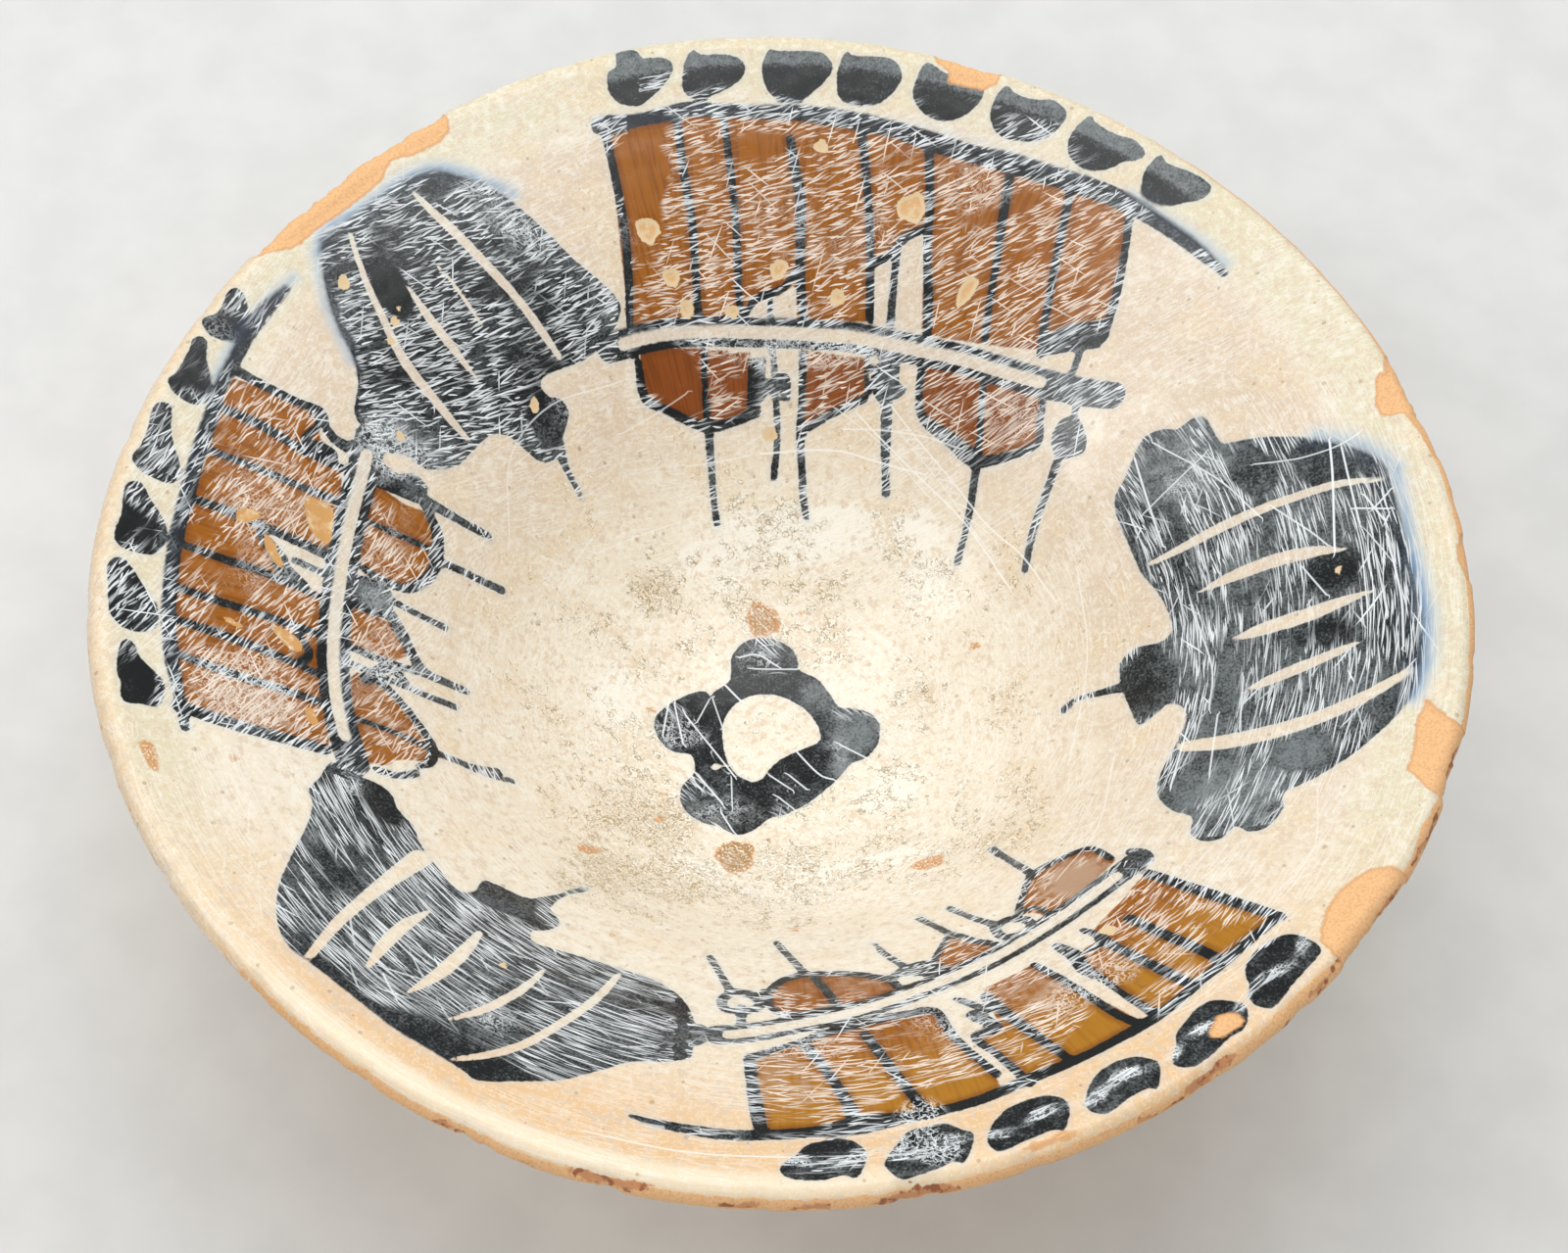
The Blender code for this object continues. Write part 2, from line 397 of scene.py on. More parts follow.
# Top panel
TOP_INK = [
    brush((-42.8, 107.3, 1.7), (-40.5, 107.8, 2.0), (-35.5, 109.5, 1.3), (-30, 111.2, 1.4),
          (-24.5, 113, 1.5), (-17.5, 113.5, 1.3), (-9, 113.8, 1.4), (-1, 114, 1.5), (6, 113.4, 1.7),
          (13, 112.4, 1.7), (20, 110.8, 1.6), (28, 108.2, 1.9), (36, 105.5, 1.7), (42.5, 103.6, 2.0),
          (50, 100.8, 1.9), (58.5, 97.3, 1.9), (66, 93.5, 1.8), (71, 90, 1.5), (76, 86, 1.4),
          (81.5, 81, 1.3), (87.3, 74.6, 0.7)),
    brush((-41.3, 106, 0.9), (-38.6, 97, 0.9), (-36.4, 88.3, 0.9), (-35.2, 80, 0.9), (-34.6, 72, 0.8)),
    brush((68.5, 92, 0.9), (67.8, 84, 0.8), (66.2, 75, 0.9), (63.9, 67, 0.9)),
    brush((-26.6, 111, 0.9), (-24.7, 101, 0.9), (-22.6, 92.5, 0.9), (-21.3, 83, 0.8), (-20.3, 75, 0.9)),
    brush((-16.8, 112, 0.8), (-14.6, 101, 0.8), (-13.2, 92, 0.8), (-12.3, 83, 0.8), (-11.6, 77, 0.8)),
    brush((-2.6, 109, 0.9), (-1.2, 103, 1.1), (0.1, 98, 1.1), (0.5, 90, 1.0), (0.9, 83, 1.0), (1.8, 77, 0.9)),
    brush((0.2, 85.5, 0.7), (-3, 82, 0.7), (-8, 80.2, 0.7), (-10.6, 77.2, 0.7)),
    brush((-5.4, 80.3, 0.6), (-5.2, 76, 0.6)),
    brush((12.4, 111, 1.0), (13.8, 102.5, 0.9), (15, 92.5, 0.9), (15.5, 84, 0.9), (15.8, 77, 0.9)),
    brush((26.7, 108, 1.0), (27.4, 97, 0.9), (27.3, 88, 0.9), (27.9, 80, 1.0), (28, 72, 0.9)),
    brush((44, 102, 1.0), (42.6, 92.5, 1.0), (41.6, 84, 0.8), (40.4, 76, 0.8), (40, 71, 0.8)),
    brush((56.5, 97, 0.9), (54.7, 88, 0.9), (53.3, 80, 0.8), (52, 72, 0.9), (51.5, 66.5, 0.9)),
    brush((15.8, 86.3, 0.8), (19.5, 88, 0.8), (22.5, 90.8, 0.9), (27, 92.3, 0.7)),
    brush((21, 89, 0.8), (20.5, 83, 0.8), (20.2, 76, 0.9)),
    plate((51.5, 69.5), (57, 71), (64.5, 70.5), (63.5, 65.2), (52, 66)),
    brush((59.6, 66.5, 0.9), (58.5, 63, 0.7), (57, 60, 0.8)),
    # pendants below the rail
    brush((-32.6, 66, 0.8), (-31, 60.5, 1.0), (-27, 59.5, 0.8), (-18, 58.2, 0.9), (-11, 60.2, 0.8),
          (-7.5, 62, 1.2)),
    plate((-9.5, 70), (-6, 70.5), (-5.5, 64), (-8.5, 61.5), (-9.5, 62)),
    brush((-18.8, 70, 0.7), (-18.4, 64, 0.7), (-17.5, 58.5, 0.9), (-16.5, 52, 0.8), (-15.7, 46.5, 0.7),
          (-14.8, 42.2, 0.8)),
    brush((-5, 74, 0.7), (-3.8, 68, 0.7), (-3.2, 63, 0.7), (-2.7, 58, 0.7), (-3.1, 51.5, 0.8)),
    brush((-8, 65.5, 0.9), (-4.2, 66, 1.2), (-1.8, 67, 1.3), (-1.2, 64.5, 0.9)),
    brush((2, 71, 0.9), (2.2, 64, 0.8), (2.1, 59.2, 0.9), (2.8, 53, 0.8), (3.3, 48.5, 0.8), (4.2, 44.6, 0.7)),
    brush((2.5, 59.3, 0.8), (9, 62, 0.7), (15.6, 64, 0.7)),
    brush((15.8, 70, 0.6), (15.8, 64, 0.6)),
    blob((16.6, 66.5), (17.8, 69.5), (22.5, 69.3), (22.4, 66.4), (24.3, 64.5), (21.6, 63.2), (18.5, 63)),
    brush((20.1, 64, 1.2), (20.3, 57, 1.1), (20.5, 52, 0.8), (20.9, 48, 0.9)),
    brush((27.2, 69, 0.9), (27.3, 60.5, 0.8), (33.5, 55.3, 1.2), (38.5, 51, 1.4), (41.5, 49.7, 1.0),
          (51, 50, 0.8), (51.8, 54, 0.7), (52.3, 58.5, 0.8)),
    brush((40, 63.5, 0.7), (39.7, 51, 0.7)),
    brush((39.5, 51, 0.9), (38.6, 43, 0.8), (37.5, 37.5, 0.7), (36.3, 33, 0.8)),
    brush((59, 57, 0.7), (58.5, 52.5, 0.7)),
    blob((54.3, 51), (56, 53.3), (59, 53.4), (60.9, 49.5), (60.8, 46.3), (57, 45.8), (54.8, 47.5)),
    brush((56, 47, 0.9), (53.4, 40.3, 0.8), (51.2, 34, 0.8), (49.9, 27.4, 0.7)),
]
TOP_RAIL = [
    (-38.8, 67), (-31.7, 70.2), (-25, 72.3), (-16.7, 73.7), (-9.2, 74.3), (-1.7, 74.6), (5, 74.5), (12.5, 74),
    (20, 72.5), (27.5, 70.6), (35, 68.4), (43.3, 65), (51.7, 61.2), (57.5, 58.6), (62, 56.8), (66, 55.4),
]
TOP_AMBER = [
    plate((-40.5, 106.5), (-33, 110), (-17, 112.5), (0, 113), (20, 110.5), (43, 103), (68.2, 91.5), (66, 76),
          (63.5, 68), (50, 68), (35, 72), (15, 77), (-4, 77), (-20, 75.5), (-34.3, 72)),
    plate((-32, 68.5), (-30.8, 60.5), (-18, 58.5), (-9.5, 61), (-9.5, 70.5), (-20, 70)),
    plate((2.4, 71.5), (2.4, 59.5), (9, 62), (15.6, 64.3), (15.6, 70)),
    plate((27.4, 68.5), (27.6, 60.5), (35, 56), (40, 51), (51.5, 50.3), (52, 58.5), (40, 63.5)),
]
TOP_CREAM = [
    plate((16.5, 85.8), (19.8, 87.2), (23, 90.2), (26.4, 91.6), (26.8, 73), (16.2, 74)),
    plate((-10.2, 79), (-3.5, 80.8), (0, 83), (0.4, 75), (-10.5, 75)),
    plate((52.5, 65.2), (59, 65.8), (56.5, 61.5), (52.5, 63.6)),
]

# Left panel
LEFT_INK = [
    brush((-102.2, 59.3, 0.7), (-105.2, 54.5, 1.3), (-108.3, 48, 1.4), (-110.5, 41, 1.3), (-112.5, 34, 1.2),
          (-113.4, 27.5, 1.4), (-114.7, 19, 1.4), (-115.6, 9, 1.4), (-116.2, 0, 1.3), (-115.9, -10, 1.3),
          (-114.9, -19, 1.3), (-113.2, -27, 1.3), (-110.9, -34, 1.0), (-108.6, -41.5, 0.9)),
    brush((-110, 39.3, 1.1), (-105, 38, 1.0), (-98, 36.8, 0.9), (-93.8, 36.4, 1.0), (-92.4, 33.2, 0.9),
          (-89, 31.2, 1.2), (-86, 32.5, 1.2), (-84, 34, 1.6)),
    brush((-95.5, 36, 0.6), (-94, 33.8, 0.6), (-96, 29.8, 0.9), (-92, 28, 2.2)),
    brush((-113, 30.5, 0.9), (-105, 29.7, 1.0), (-97, 27.5, 1.0), (-88, 26.2, 0.9)),
    brush((-114, 20.8, 0.9), (-106, 20.4, 0.8), (-97, 19.6, 0.8), (-88.5, 19.2, 0.9)),
    brush((-115.5, 9.4, 0.9), (-107, 9, 1.0), (-98, 7.8, 1.0), (-88.5, 6.8, 1.2)),
    brush((-102, 6.5, 0.9), (-98.5, 3, 1.6), (-97, 0.5, 1.6), (-93.5, -1.6, 1.3)),
    brush((-95.2, 3.2, 0.8), (-88.2, 2.4, 0.8)),
    brush((-115.5, -1.2, 0.8), (-108, -1.6, 0.9), (-101, -1.7, 0.9), (-89, -3, 0.6)),
    brush((-115, -10.9, 0.9), (-106, -11.2, 0.9), (-97, -11.2, 0.9), (-88, -11.3, 0.9)),
    brush((-93.6, -12, 0.7), (-90.5, -16, 0.8), (-91.5, -19, 1.0)),
    brush((-114, -18, 0.9), (-105, -18.4, 1.0), (-96, -19.2, 0.9), (-88, -20.5, 0.8)),
    brush((-112.5, -25.5, 0.9), (-103, -26.5, 1.0), (-95, -26.6, 0.9), (-86.5, -26.8, 0.9)),
    brush((-110.5, -37, 1.3), (-103, -37.7, 1.4), (-95, -37.9, 1.3), (-85, -37.6, 1.3)),
    # pendants
    plate((-82.5, 31), (-78.8, 29.5), (-75.3, 31.2), (-73, 29.5), (-73, 25.2), (-82.5, 25.2)),
    brush((-74, 26.6, 1.2), (-67, 25.6, 0.9), (-61, 25.1, 0.8)),
    brush((-73, 25, 0.8), (-70.4, 20.5, 1.1), (-70.6, 13, 1.0), (-74.5, 7, 1.0), (-79, 6, 0.9),
          (-83.5, 7.2, 0.8)),
    brush((-84, 17.3, 0.6), (-71, 17, 0.7)),
    brush((-71, 15.5, 0.9), (-64, 15.6, 0.8), (-57.8, 15.7, 0.9)),
    blob((-84, 4.8), (-80, 5.2), (-77.5, 4), (-77.2, 0.5), (-78, -2), (-84.5, -2)),
    brush((-78, 2.6, 0.8), (-73, 2, 0.7), (-67.4, 1.8, 0.8)),
    brush((-78, -0.2, 1.4), (-75, -4, 1.2), (-72.5, -8, 1.1), (-70, -10.5, 1.1), (-66, -10.6, 0.9),
          (-62.6, -10.4, 0.9)),
    brush((-84, -11.5, 0.9), (-77, -11.9, 0.9), (-70, -10.8, 0.9)),
    brush((-83, -15.3, 0.7), (-76, -15.7, 0.7), (-70, -15.8, 0.8), (-64, -15.5, 0.8)),
    brush((-80, -17.5, 1.4), (-77.5, -13.8, 0.9), (-75, -13.4, 0.8), (-73, -15, 0.7)),
    brush((-78, -17, 1.0), (-74.5, -19, 0.8), (-70, -23.5, 0.8), (-66.8, -28, 1.0), (-66.8, -32, 1.0),
          (-68.5, -34.2, 0.6)),
    brush((-83, -28, 0.8), (-76, -27.8, 0.6), (-68, -28.4, 0.7)),
    brush((-67, -29, 0.9), (-60.8, -29, 0.7), (-57, -28, 0.6), (-54.4, -26.9, 0.7)),
    brush((-61, -29.4, 0.6), (-56, -29.4, 0.5), (-51.7, -28.1, 0.7)),
    brush((-75.3, -38.6, 0.9), (-72, -38.4, 0.8), (-69.2, -36.6, 0.9), (-68.6, -35.7, 0.6)),
]
LEFT_RAIL = [
    (-84.3, 34.5), (-85.3, 26), (-86.3, 17.5), (-86.9, 9.2), (-87.1, 0), (-86.9, -8.3), (-86.1, -16.7),
    (-84.5, -25), (-82, -33), (-79.7, -38.8),
]
LEFT_AMBER = [
    plate((-110, 37), (-104, 37), (-95, 36), (-94, 31), (-90, 27), (-88.5, 20), (-89, 8), (-99, 8),
          (-103, 6), (-99, 0), (-89, -3), (-88.5, -20), (-86.5, -27), (-84.5, -37.8), (-110.5, -37),
          (-114.5, -18), (-115.5, 0), (-114, 18)),
    blob((-83.8, 24), (-77, 23.5), (-71.5, 23.2), (-70.4, 16), (-74.5, 7.5), (-79, 6.5), (-84, 8)),
    plate((-84.5, -3), (-77, -3), (-73.5, -7.5), (-76, -10.5), (-84, -10.3)),
    blob((-82, -17.5), (-76, -19.5), (-70.5, -25), (-67.5, -31), (-72.5, -34), (-75, -36.8), (-79, -35.5),
         (-81, -26)),
]
LEFT_CREAM = [
    plate((-95, 4.6), (-88.8, 4.2), (-88.8, 3.4), (-95, 4.1)),
    plate((-95, 2.2), (-88.8, 1.4), (-88.8, -1.8), (-92, -0.8)),
    brush((-97.2, -13, 0.5), (-94.5, -15, 0.8), (-93.5, -16.5, 0.5)),
]

# Bottom panel
BOTTOM_INK = [
    brush((-22.5, -113.7, 0.4), (-18.5, -114.8, 0.8), (-12, -115.9, 1.1), (-5, -116.6, 1.2), (3, -116, 1.2),
          (10, -115, 1.3), (17, -113.3, 2.2), (22, -112.2, 1.6), (29, -110.6, 1.1), (37, -108, 1.1),
          (46, -103.4, 1.2), (54, -99.6, 1.0), (60, -96.2, 1.0), (66.5, -92, 1.2), (71, -88.6, 1.1),
          (76, -83.8, 1.0), (81, -79.2, 1.1), (86, -74.6, 1.0), (90.9, -70.4, 0.8)),
    brush((69.6, -55.2, 1.0), (75, -59.4, 1.1), (81, -63.9, 1.2), (87, -68.1, 1.1), (91, -70.8, 1.0)),
    brush((-2.6, -97.8, 1.1), (-1.9, -104, 1.1), (-0.9, -110.5, 1.3), (0, -115, 1.2)),
    brush((-2.6, -97.8, 0.8), (3, -94.8, 0.7), (7, -92.8, 0.8), (11, -90.6, 0.9), (19, -87.6, 1.0),
          (27, -85.3, 1.0), (30.6, -85.6, 0.9), (32.4, -90, 0.9), (35.2, -95, 0.8), (40.5, -102, 0.9)),
    brush((7.5, -94.5, 1.1), (11, -100.5, 1.0), (14.2, -107, 1.1), (16, -112, 1.4)),
    brush((17.8, -91, 1.0), (20.8, -96.8, 1.0), (24.6, -104, 1.0), (28.6, -111, 1.2)),
    brush((37.2, -87, 1.4), (41, -90.5, 1.1), (37.2, -92.6, 0.9), (41, -97.5, 0.8), (44.2, -102, 0.9),
          (46, -104.5, 0.9)),
    brush((39.6, -82.5, 1.2), (43.5, -88, 1.1), (48, -93.5, 1.0), (51.5, -97.5, 0.9), (53, -99.6, 0.9)),
    brush((39.8, -86, 0.8), (36, -83.5, 0.8), (34.3, -82.6, 0.7)),
    brush((48.4, -75, 0.8), (53, -79.6, 0.8), (57.4, -84.5, 0.8), (62, -89.7, 0.9), (66.2, -92.6, 0.9)),
    brush((52.6, -70.6, 0.9), (55.5, -73.8, 1.4), (57, -77.5, 1.3), (60, -80.6, 0.8), (63, -84.5, 0.7),
          (67.5, -89.5, 1.0)),
    brush((65.6, -66, 1.0), (70.8, -70.9, 1.1), (76.4, -75.6, 1.1), (80.5, -79.5, 1.1)),
    brush((60, -70.2, 0.9), (63.5, -73.5, 1.0), (69.2, -79, 1.1), (75, -84.3, 1.1)),
    brush((57.5, -67.4, 0.7), (61.3, -70.6, 0.8), (57.6, -73.2, 0.6)),
    # pendants
    brush((0, -80, 0.9), (2.4, -76, 0.8), (6.8, -73.6, 0.9), (13.3, -73.3, 0.8), (19, -74.3, 0.8),
          (22.8, -76.3, 0.9), (24.8, -80, 0.8)),
    brush((0.2, -80.6, 0.7), (1.5, -84.8, 0.7), (6, -85.6, 0.7), (12.5, -83.6, 0.7), (19, -82, 0.7),
          (24.5, -80.5, 0.7)),
    brush((8.6, -74.5, 0.9), (10.8, -78.5, 0.9), (12.8, -83, 0.9)),
    brush((30, -72.6, 0.7), (32.4, -66.5, 0.6), (34.3, -63.6, 0.8), (38, -66, 0.8), (41.8, -68, 0.8),
          (44.4, -70.2, 0.8)),
    brush((46.4, -60, 0.7), (47.8, -54, 0.6), (49.6, -49.3, 0.8), (54, -46.8, 0.7), (58.4, -45.4, 0.6),
          (61, -46, 0.7), (63.6, -49.5, 0.7)),
    brush((46.4, -60, 0.6), (49.5, -59, 0.5), (52.6, -62.5, 0.7)),
    # ring knobs
    brush((-8.2, -82.5, 1.0), (-6.2, -80, 1.0), (-2.5, -80.6, 1.1), (-1, -83.2, 1.1), (-3.4, -85.3, 0.9),
          (-7.4, -85, 0.9), (-8.2, -82.5, 1.0)),
    brush((-4.5, -84, 0.8), (-4.4, -88.4, 0.9)),
    brush((22.8, -75.4, 0.9), (25.5, -73, 1.2), (29.5, -71.5, 0.9), (32.3, -73.8, 1.0), (35.8, -76.2, 1.2)),
    blob((24.5, -73.5), (27, -71.3), (30, -71.8), (31.5, -74.5), (29.5, -78.5), (28.6, -75.4), (25.8, -75.2)),
    brush((42, -63.2, 1.0), (44.5, -61.3, 0.9), (47.8, -62.3, 1.0), (48.6, -64.8, 1.0), (46.2, -66.4, 0.9),
          (43, -65.8, 0.9), (42, -63.2, 1.0)),
    brush((48.2, -64.6, 0.9), (48, -67.5, 0.8), (50.5, -66, 0.7)),
    # whiskers
    brush((-10.9, -69.4, 0.8), (-9.2, -73.5, 0.7), (-7, -79, 0.9)),
    brush((-0.6, -79.2, 0.8), (-0.2, -81, 0.8)),
    brush((1.5, -62.6, 0.8), (3.9, -67.5, 0.8), (7, -73.5, 0.9)),
    brush((19.5, -63, 0.5), (21.4, -67, 0.7), (25.2, -72, 0.8)),
    brush((28.5, -56.4, 0.8), (31, -59.6, 0.7), (34.3, -63.5, 0.8)),
    brush((34.2, -54.6, 0.8), (37.5, -58.3, 0.7), (41.8, -62, 0.9)),
    brush((42.9, -38.2, 0.9), (45.6, -42.5, 0.7), (49.8, -49.2, 0.9)),
    brush((67.2, -48.8, 1.0), (69.5, -50.2, 1.2), (70.2, -52, 0.9)),
]
BOTTOM_RAIL = [
    (-8.2, -92.3), (-4, -91.5), (0, -90.3), (5, -88.6), (10, -87), (15, -85.2), (20, -83.1), (25, -80.6),
    (33.3, -76.4), (41.7, -71.6), (50, -65.8), (58.3, -59.4), (64.2, -54.6), (68, -51.6),
]
BOTTOM_AMBER = [
    plate((-1, -98.5), (7, -94), (11, -91.5), (19, -88.8), (30, -86.5), (31.5, -90), (39.5, -102),
          (41, -106), (28, -110.5), (17, -113), (0, -116)),
    plate((39.5, -80.6), (48, -75.5), (57.5, -84.5), (65.5, -92), (54, -99.5), (46, -103.5), (38, -93),
          (42, -90)),
    plate((58.5, -69.5), (69.5, -55.5), (91, -71), (75, -85), (69.5, -90), (60, -80.5), (56, -78),
          (57.5, -73)),
    plate((0.3, -80), (2.6, -76), (7, -73.6), (13.5, -73.4), (19, -74.4), (23, -76.6), (24.8, -80),
          (18, -82.5), (6, -85.5), (1.5, -84.8)),
    plate((30.3, -72.5), (32.6, -66.5), (34.3, -63.8), (38, -66.2), (44, -70.2), (40, -73.6), (36.5, -75.3),
          (33, -74)),
    plate((46.6, -60), (48, -54), (49.8, -49.5), (54, -47), (58.5, -45.7), (61, -46.4), (64, -50),
          (58, -56.5), (52.5, -62.5), (49.5, -60)),
]
BOTTOM_CREAM = [
    brush((31.2, -83.5, 1.0), (33.5, -88.5, 1.0), (36, -93.3, 0.8), (40, -98.6, 0.8), (43.6, -103, 0.6)),
    plate((35.2, -82.4), (38.2, -81.6), (39.2, -84.8), (39, -86.8), (36.8, -86)),
    plate((49.5, -72.6), (53, -74.8), (56, -78.6), (54.2, -78.4), (50.5, -75.6)),
    brush((53, -77.2, 0.7), (58, -82.4, 0.7), (62.5, -87.5, 0.7), (66, -91.2, 0.5)),
    plate((53.6, -69.6), (57, -68), (60.2, -70.6), (57, -72.2), (55.8, -71.8)),
]

# Three barrels with their beaks, and the cream slits in them
BARRELS = [
    blob((-72.5, 92), (-63.5, 91), (-53.5, 85.8), (-46.5, 81.2), (-41.2, 78.5), (-37, 75.6), (-37, 72.5),
         (-39.3, 68.5), (-43.5, 64), (-51, 59.2), (-52.3, 56.8), (-50.5, 55.4), (-48, 55.6), (-46.4, 53.6),
         (-47.4, 49), (-48.3, 45.2), (-51.5, 43.3), (-55, 44.3), (-58, 45.5), (-61.5, 44.5), (-64.6, 40.6),
         (-68, 35.8), (-73.3, 32.9), (-77.5, 33.9), (-80.5, 33.2), (-83.6, 34.2), (-87.6, 38.5),
         (-87.4, 44.5), (-89, 49.8), (-92.4, 55), (-95.2, 62), (-96.8, 71), (-93.5, 75), (-86, 83.6),
         (-81.2, 88.3), (-77, 91.2)),
    blob((70.4, 42.5), (72.3, 45.6), (75.5, 46.2), (78.6, 45.4), (81.5, 46.8), (83.8, 46.2), (85.3, 43.2),
         (87.3, 40), (92.5, 39.5), (98.5, 38.2), (104.5, 36), (110, 33), (114.5, 29.5), (116.5, 26),
         (118, 18), (119.2, 9), (120.2, 0), (120.8, -9), (120, -17.5), (118.3, -23.5), (114, -29.5),
         (106.5, -35.8), (99.5, -39.8), (94.3, -41.8), (93.8, -45.5), (91, -49), (87.8, -49.6),
         (85.4, -47.6), (83, -49.8), (79.7, -49.8), (77.7, -47), (78.4, -43.4), (75, -40.4), (72.9, -36),
         (73.5, -31), (75.8, -26), (78.4, -20.5), (78.9, -16.5), (76.3, -13.7), (73.6, -15.3), (70.8, -16.6),
         (69.3, -12), (68, -5.5), (67.9, 0), (71, 2), (75, 1.4), (77.4, 3.2), (76.6, 8), (74.8, 12.8),
         (72, 18), (69.4, 25.5), (67.3, 31.5), (66.9, 35.5), (68.6, 38.3)),
    blob((-83.3, -40), (-80, -41.3), (-75.6, -41.8), (-72.4, -43.5), (-70.6, -47), (-67.4, -50.2),
         (-65.8, -54), (-62, -59), (-59.2, -62.5), (-56.7, -63.8), (-54.8, -62.6), (-53.8, -59.4),
         (-50.8, -59.6), (-47, -60.9), (-43.8, -61.2), (-40.4, -63.8), (-39.1, -66.6), (-40.8, -69),
         (-43.7, -70.2), (-43.2, -73.2), (-39, -74), (-33, -75), (-26.5, -76.6), (-20.5, -78.6),
         (-16.5, -81.6), (-13.8, -85.8), (-12.6, -89.4), (-10.2, -90.6), (-10.4, -94.3), (-12.6, -96),
         (-13, -98.7), (-17, -100.1), (-23, -100.8), (-28.5, -103.8), (-35, -107), (-42, -108.4),
         (-48.6, -109.3), (-51.5, -107.4), (-57, -104.1), (-64, -100.2), (-71, -95), (-78, -89.8),
         (-84, -85.6), (-86.8, -80), (-87.7, -72.5), (-86.8, -65), (-85.4, -57.5), (-85.1, -51.5),
         (-86.2, -48.2), (-85, -45)),
]
BEAKS = [
    brush((-48.5, 47.5, 1.6), (-46.7, 44.4, 0.8), (-43.4, 40.3, 0.6)),
    brush((57.6, -6, 1.0), (59.6, -4.8, 0.6), (63.5, -5.2, 0.7), (68.5, -6, 1.2)),
    brush((-43.8, -63, 2.2), (-40.4, -58.6, 0.7), (-37.8, -55.7, 0.6), (-35.7, -53.7, 0.8)),
]
SLITS = [
    brush((-79.3, 86, 0.5), (-76.1, 83.7, 0.8), (-71.1, 80.7, 1.0), (-64.4, 76.1, 1.0), (-57.8, 71.3, 0.9),
          (-53.4, 67.4, 0.9), (-48.8, 63, 0.6)),
    brush((-91.1, 74.1, 0.5), (-89.2, 69.3, 0.6), (-86.7, 64.3, 0.7), (-83.6, 59.3, 0.8), (-80.9, 54.8, 0.9),
          (-77.8, 51.2, 1.1), (-73.9, 47.9, 1.0), (-70, 44.7, 0.9), (-66, 41.8, 0.5)),
    brush((-79.6, 67.5, 0.3), (-75.2, 62.8, 0.9), (-70.4, 58.6, 0.9), (-65, 53.8, 0.3)),
    brush((-73.8, 72.9, 0.3), (-69.4, 69.4, 0.45), (-64.6, 64.4, 0.3)),
    brush((73.6, 19.3, 0.5), (79.3, 20.5, 0.9), (86.4, 22.4, 1.1), (93.6, 23.9, 1.0), (100.7, 24.8, 0.9),
          (107.9, 25.3, 0.8), (115.4, 24.2, 0.4)),
    brush((82.3, 9.8, 0.2), (88, 11, 1.2), (96, 12, 1.5), (103, 11.8, 1.2), (108.8, 10.6, 0.2)),
    brush((87.3, -3.2, 0.2), (93, -2.6, 1.4), (101, -1.9, 1.6), (107.5, -0.7, 1.1), (113, 0.2, 0.2)),
    brush((88.8, -16, 0.2), (94, -14.6, 1.1), (100, -13.2, 1.2), (106, -11.7, 0.9), (110.3, -10.4, 0.2)),
    brush((78.2, -25.2, 1.2), (85, -26.6, 1.7), (93, -26.9, 1.7), (101, -25.9, 1.5), (109, -23.5, 1.3),
          (117.6, -19.4, 0.8)),
    brush((-65.3, -57.8, 2.1), (-68.8, -63.6, 1.7), (-72.8, -70.5, 1.3), (-76.7, -78, 1.1),
          (-80.1, -87, 0.8)),
    brush((-61.9, -70.8, 0.4), (-65.3, -75, 1.2), (-68.3, -81, 1.3), (-70.1, -86.7, 0.6)),
    brush((-52.8, -73.8, 0.7), (-54.8, -79.2, 1.3), (-58.2, -85.6, 1.3), (-62.6, -91.3, 0.4)),
    brush((-40.6, -80.6, 0.5), (-43.8, -86.3, 0.9), (-49.4, -92.4, 0.9), (-55, -96.2, 0.4)),
    brush((-27.2, -78.4, 0.6), (-30.3, -85.2, 0.9), (-35.2, -92.2, 0.9), (-41.8, -99.5, 0.9),
          (-48, -103.3, 0.8), (-53, -105.1, 0.5)),
]

# The flower in the well, and the cream in it
FLOWER = [
    blob((-10.5, 13.4), (-10.4, 16.1), (-8.5, 19), (-5.5, 20.6), (-1.5, 20.5), (2, 18.8), (3.6, 16.2),
         (3.9, 14), (7.9, 12), (11, 7.9), (12.7, 5.4), (15.4, 5), (18.8, 3.8), (20.9, 1.5), (21.3, -1),
         (20.9, -3.9), (19.3, -6.4), (17.4, -7.8), (15.6, -8.4), (12.8, -12.1), (10.6, -14.6), (7.5, -17.8),
         (3.8, -20.5), (1.3, -22), (-0.9, -22.6), (-3.9, -26), (-6.8, -27.8), (-8.7, -27.4), (-11.4, -26),
         (-14.4, -25.5), (-17.1, -23.9), (-19, -21.4), (-19.5, -18.5), (-18.9, -15.7), (-17, -13),
         (-16.9, -10.6), (-17.9, -8), (-21.2, -8.1), (-23.9, -6.4), (-25.7, -3), (-25.5, -0.3), (-23.9, 2.2),
         (-20.7, 5.2), (-17.7, 7), (-15.6, 7.6), (-14.7, 6.4), (-13.6, 7.8), (-11.4, 9.7), (-10.5, 11)),
]
FLOWER_HOLE = [
    blob((-11.6, -2), (-10.9, 2.6), (-8, 6.4), (-3.6, 8.1), (1, 7.6), (5.4, 5), (8, 1.6), (9, -1.6),
         (8.2, -3.2), (4.6, -5), (1.2, -7), (-1.2, -9.6), (-2.8, -12.3), (-5, -13.4), (-8.6, -11.4),
         (-10.6, -7.6)),
    blob((-13.6, -10.4), (-12.4, -9.4), (-10.9, -9.6), (-11.8, -10.8), (-13.2, -11.4)),
]

